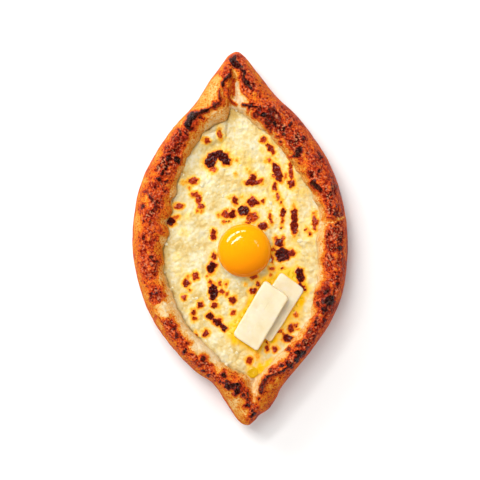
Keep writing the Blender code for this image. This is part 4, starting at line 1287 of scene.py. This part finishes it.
def pat_ring(inset, level):
    """The slice's outline this far in from its side, as a ring at one level."""
    long, wide = PAT_LONG / 2 - inset, PAT_WIDE / 2 - inset
    corner = max(PAT_CORNER - inset, 0.15)
    line = []
    for k, (sign_x, sign_y) in enumerate(((1, 1), (-1, 1), (-1, -1), (1, -1))):
        for angle in np.radians(np.linspace(90 * k, 90 * k + 90, 9)):
            line.append((sign_x * (long - corner) + corner * math.cos(angle),
                         sign_y * (wide - corner) + corner * math.sin(angle)))
    line = np.array(line)
    line = at_shares(np.vstack([line, line[:1]]), np.arange(PAT_STATIONS) / PAT_STATIONS)
    skewed = line[:, 0] - line[:, 1] * math.tan(PAT_SKEW)
    return np.column_stack([skewed, line[:, 1], np.full(len(line), level)])


def pat_object(name, node, material, seed):
    """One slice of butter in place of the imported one."""
    half = PAT_THICK / 2
    inward = np.linspace(PAT_WIDE / 2 - 0.2, PAT_EDGE, 18)
    curve = np.radians(np.linspace(0, 90, 6))
    profile = [(inset, -half) for inset in inward[:-1]]
    profile += [(PAT_EDGE * (1 - math.sin(a)), -half + PAT_EDGE * (1 - math.cos(a))) for a in curve]
    profile += [(0.0, level) for level in np.linspace(-half + PAT_EDGE, half - PAT_EDGE, 5)[1:-1]]
    profile += [(PAT_EDGE * (1 - math.cos(a)), half - PAT_EDGE * (1 - math.sin(a))) for a in curve]
    profile += [(inset, half) for inset in inward[::-1][1:]]
    rings = [pat_ring(inset, level) for inset, level in profile]
    around, count = len(rings[0]), len(rings)
    shape = np.vstack(rings + [rings[0].mean(0), rings[-1].mean(0)])
    faces = grid_faces(count, around) + cap(0, around, len(shape) - 2, False)
    faces += cap((count - 1) * around, around, len(shape) - 1, True)
    for x, y, radius in PITS:
        near = np.exp(-((shape[:, 0] - x) ** 2 + (shape[:, 1] - y) ** 2) / radius**2)
        shape[:, 2] -= PIT_DEPTH * near * (shape[:, 2] > half - 0.1)
    place = pat_matrix(node)
    for k, p in enumerate(shape):  # it has begun to soften, so its sides wave a little
        soft = Vector(p)
        p = p + 0.3 * np.array(noise.noise_vector(soft / 9.0 + Vector((seed, 0, 0))))
        p[2] += 0.12 * noise.noise(soft / 3.0 + Vector((0, seed, 0)))
        shape[k] = place @ (Vector(p) * MM) / MM
    made = mesh_object(name, shape, faces)
    made.data.materials.append(material)
    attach(made, "root")
    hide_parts(node)


sliced_butter = butter_material()
pat_object("butter_lower", "butter_pat_lower", sliced_butter, 3)
pat_object("butter_upper", "butter_pat_upper", sliced_butter, 11)
print("butter slices: %.1f x %.1f x %.1f mm" % (PAT_LONG, PAT_WIDE, PAT_THICK))

# %% [markdown]
# ## Films of melted butter
# Where the melt is deep it lies on the cheese as a liquid. A liquid finds its own level, so the
# film's top is the cheese's surface smoothed out and lifted a little, and it fills the hollows
# between the curds. The film is closed underneath, where the cheese hides it.


# %% Films
def film_material():
    """Melted butter that lies as a thin clear oil. To the eye it is yellow, smooth and wet."""
    material, shader, _ = new_material("melted butter")
    feed(shader, {
        "Base Color": linear("D2A60A"),
        "Roughness": 0.25,
        "IOR": 1.46,
        "Subsurface Weight": 0.2,
        "Subsurface Radius": (1.0, 0.8, 0.1),
        "Subsurface Scale": 1 * MM,
    })
    return material


def smooth_grid(values, passes):
    """A grid's values, each blended with its neighbours this many times."""
    for _ in range(passes):
        wide = np.pad(values, 1, mode="edge")
        values = (wide[:-2, 1:-1] + wide[2:, 1:-1] + wide[1:-1, :-2] + wide[1:-1, 2:] + 4 * values) / 8
    return values


def film_object(name, top, bottom, keep):
    """A closed sheet over the grid's kept cells. Its corners lie at x, y, and top or bottom."""
    _, cells = grid_cells(ROWS, COLUMNS)
    cells = cells[keep[cells].all(1)]
    used, cells = np.unique(cells, return_inverse=True)
    cells = cells.reshape(-1, 4)
    count = len(used)
    build_faces = cells.tolist() + (cells[:, ::-1] + count).tolist()
    edges = {tuple(pair) for cell in cells.tolist() for pair in zip(cell, cell[1:] + cell[:1])}
    build_faces += [(b, a, a + count, b + count) for a, b in edges if (b, a) not in edges]
    upper = np.column_stack([flat[used], top[used]])
    lower = np.column_stack([flat[used], bottom[used]])
    return mesh_object(name, np.vstack([upper, lower]), build_faces)


POOL_CENTRE, POOL_RADIUS, POOL_REACH = (9.5, -100.3), 3.2, 7  # the drop of melt at the lower tip
surface = np.empty(len(cheese.data.vertices) * 3)
cheese.data.vertices.foreach_get("co", surface)
surface = surface.reshape(-1, 3)[: len(flat), 2] / MM
level = smooth_grid(surface.reshape(ROWS, COLUMNS), 8).ravel()
pool = np.hypot(flat[:, 0] - POOL_CENTRE[0], flat[:, 1] - POOL_CENTRE[1])
depth = 0.8 * (melt - 0.97)  # of the liquid, below 0 where there is none
pooled = 0.35 - 0.4 * np.clip(pool - POOL_RADIUS, -1, 3)
depth = np.where(pool < POOL_REACH, np.maximum(depth, pooled), depth)
clear = (beside_pat > 0.0) & (from_yolk > YOLK_RADIUS + 0.5) & (bank_gap > 0.5)
top = level + np.clip(depth, -0.6, 0.45)
film = film_object("butter_film", top, np.minimum(surface, top) - 0.7, (depth > -0.35) & clear)
film.data.materials.append(film_material())
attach(film, "root")
print("film: %d faces" % len(film.data.polygons))

# %% [markdown]
# ## Blisters, curds and crumbs
# The finest things stand clear of the surface: bubbles of charred crust and of caramelised cheese,
# grains of curd, and dry crumbs of crust. One Geometry Nodes tree scatters them all. It strews
# points over a piece where an attribute lies in a band, sets a small ball on each, squashed and
# turned along the surface, and sinks it in by a share of its size.


# %% The scatter tree
DENTS_PER_M = 900.0  # a dent each 1.1 mm
DENT_DEPTH = 1.1  # of the radius, at most half of which is reached each way


def scatter_tree(attribute):
    """Strews small squashed balls over a piece where the attribute lies in a band."""
    tree, given, add = new_tree(
        "strewn by " + attribute,
        {"From": 0.5, "To": 1.0, "Per square metre": 1e5, "Radius": 0.001, "Spread": 0.5,
         "Flatness": 0.6, "Sunk": 0.3, "Above": 0.0},
    )
    value = add("GeometryNodeInputNamedAttribute", sockets={"Name": attribute}, data_type="FLOAT")
    place = add("GeometryNodeInputPosition")
    level = add("ShaderNodeSeparateXYZ", place).outputs["Z"]

    # Points only where the attribute lies between From and To, and above a level
    density = given["Per square metre"]
    for test, limit, operation in (
        (value, "From", "GREATER_THAN"), (value, "To", "LESS_THAN"), (level, "Above", "GREATER_THAN"),
    ):
        passed = add("ShaderNodeMath", test, given[limit], operation=operation)
        density = add("ShaderNodeMath", density, passed, operation="MULTIPLY")
    strewn = add("GeometryNodeDistributePointsOnFaces",
                 sockets={"Mesh": given["Geometry"], "Density": density, "Seed": given["Seed"]})

    # A ball on each point, of a random size, squashed and sunk along the surface
    smallest = add("ShaderNodeMath", given["Spread"], -1.0, 1.0, operation="MULTIPLY_ADD")
    share = add("FunctionNodeRandomValue", smallest, 1.0, data_type="FLOAT",
                sockets={"Seed": given["Seed"]})
    radius = add("ShaderNodeMath", share, given["Radius"], operation="MULTIPLY")
    height = add("ShaderNodeMath", radius, given["Flatness"], operation="MULTIPLY")
    size = add("ShaderNodeCombineXYZ", radius, radius, height)
    ball = add("GeometryNodeMeshIcoSphere", sockets={"Radius": 1.0, "Subdivisions": 2})
    sink = add("ShaderNodeMath", height, given["Sunk"], operation="MULTIPLY")
    down = add("ShaderNodeMath", sink, -1.0, operation="MULTIPLY")
    shift = add("ShaderNodeVectorMath", operation="SCALE",
                sockets={0: strewn.outputs["Normal"], "Scale": down})
    sunk = add("GeometryNodeSetPosition",
               sockets={"Geometry": strewn.outputs["Points"], "Offset": shift})
    placed = add("GeometryNodeInstanceOnPoints", sockets={
        "Points": sunk, "Instance": ball, "Rotation": strewn.outputs["Rotation"], "Scale": size})
    real = add("GeometryNodeRealizeInstances", placed)

    # Dents, so that no two balls look alike
    lumpy = add("ShaderNodeTexNoise", sockets={"Vector": place, "Scale": DENTS_PER_M, "Detail": 1.0})
    centred = add("ShaderNodeVectorMath", lumpy.outputs["Color"], (0.5, 0.5, 0.5), operation="SUBTRACT")
    twist = add("ShaderNodeMath", given["Radius"], DENT_DEPTH, operation="MULTIPLY")
    push = add("ShaderNodeVectorMath", sockets={0: centred, "Scale": twist}, operation="SCALE")
    uneven = add("GeometryNodeSetPosition", sockets={"Geometry": real, "Offset": push})
    close_tree(add, given, add("GeometryNodeSetShadeSmooth", sockets={0: uneven}))
    return tree


def plain_material(name, colours, size, roughness):
    """A material whose colour wanders between two hex colours over this size in mm."""
    material, shader, add = new_material(name)
    place = add("ShaderNodeTexCoord").outputs["Object"]
    cloud = add("ShaderNodeTexNoise",
                sockets={"Vector": place, "Scale": 1 / (size * MM), "Detail": 1.0})
    colour = add("ShaderNodeValToRGB", cloud, stops=list(zip((0.4, 0.6), colours)))
    feed(shader, {"Base Color": colour, "Roughness": roughness})
    return material


# %% Strew them
STREWN = [  # name, on, attribute, from, to, per square metre, radius, sunk, slot, material
    # Skin blown up by steam and burnt: near black, with a shine
    ("char_blisters", bread, "char", 0.8, 2.0, 1.6e5, 0.9, 0.45, "bread_crust",
     plain_material("charred crust skin", ("1A0604", "4A0F05"), 1.5, 0.28)),
    # Skin whose milk sugar has caramelised: dark maroon and glossy
    ("toast_blisters", cheese, "char", 0.72, 2.0, 2.4e5, 0.7, 0.35, "baked_cheese",
     plain_material("caramelised cheese skin", ("400803", "861E08"), 1.2, 0.22)),
    # Curd broken by hand: creamy and matt
    ("curd_grains", cheese, "bare", 0.5, 2.0, 1.3e4, 2.1, 0.85, "baked_cheese",
     plain_material("fresh curd", ("DFD6B6", "DBCFA4"), 4.0, 0.7)),
    # Dry crumbs, toasted: rust brown, with a dull shine
    ("crust_grains", bread, "bake", 0.42, 0.7, 6.0e4, 0.55, 0.3, "bread_crust",
     plain_material("toasted crust crumb", ("D85A1C", "8C2208"), 1.5, 0.5)),
]
trees = {label: scatter_tree(label) for label in ("char", "bare", "bake")}
for number, row in enumerate(STREWN):
    name, piece, attribute, low, high, density, radius, sunk, slot, material = row
    strewn = grow(
        name, piece, trees[attribute], Material=material, Seed=20 + number,
        **{"From": low, "To": high, "Per square metre": density, "Radius": radius * MM,
           "Spread": 0.65, "Flatness": 0.6, "Sunk": sunk, "Above": 21 * MM},
    )
    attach(strewn, "root")
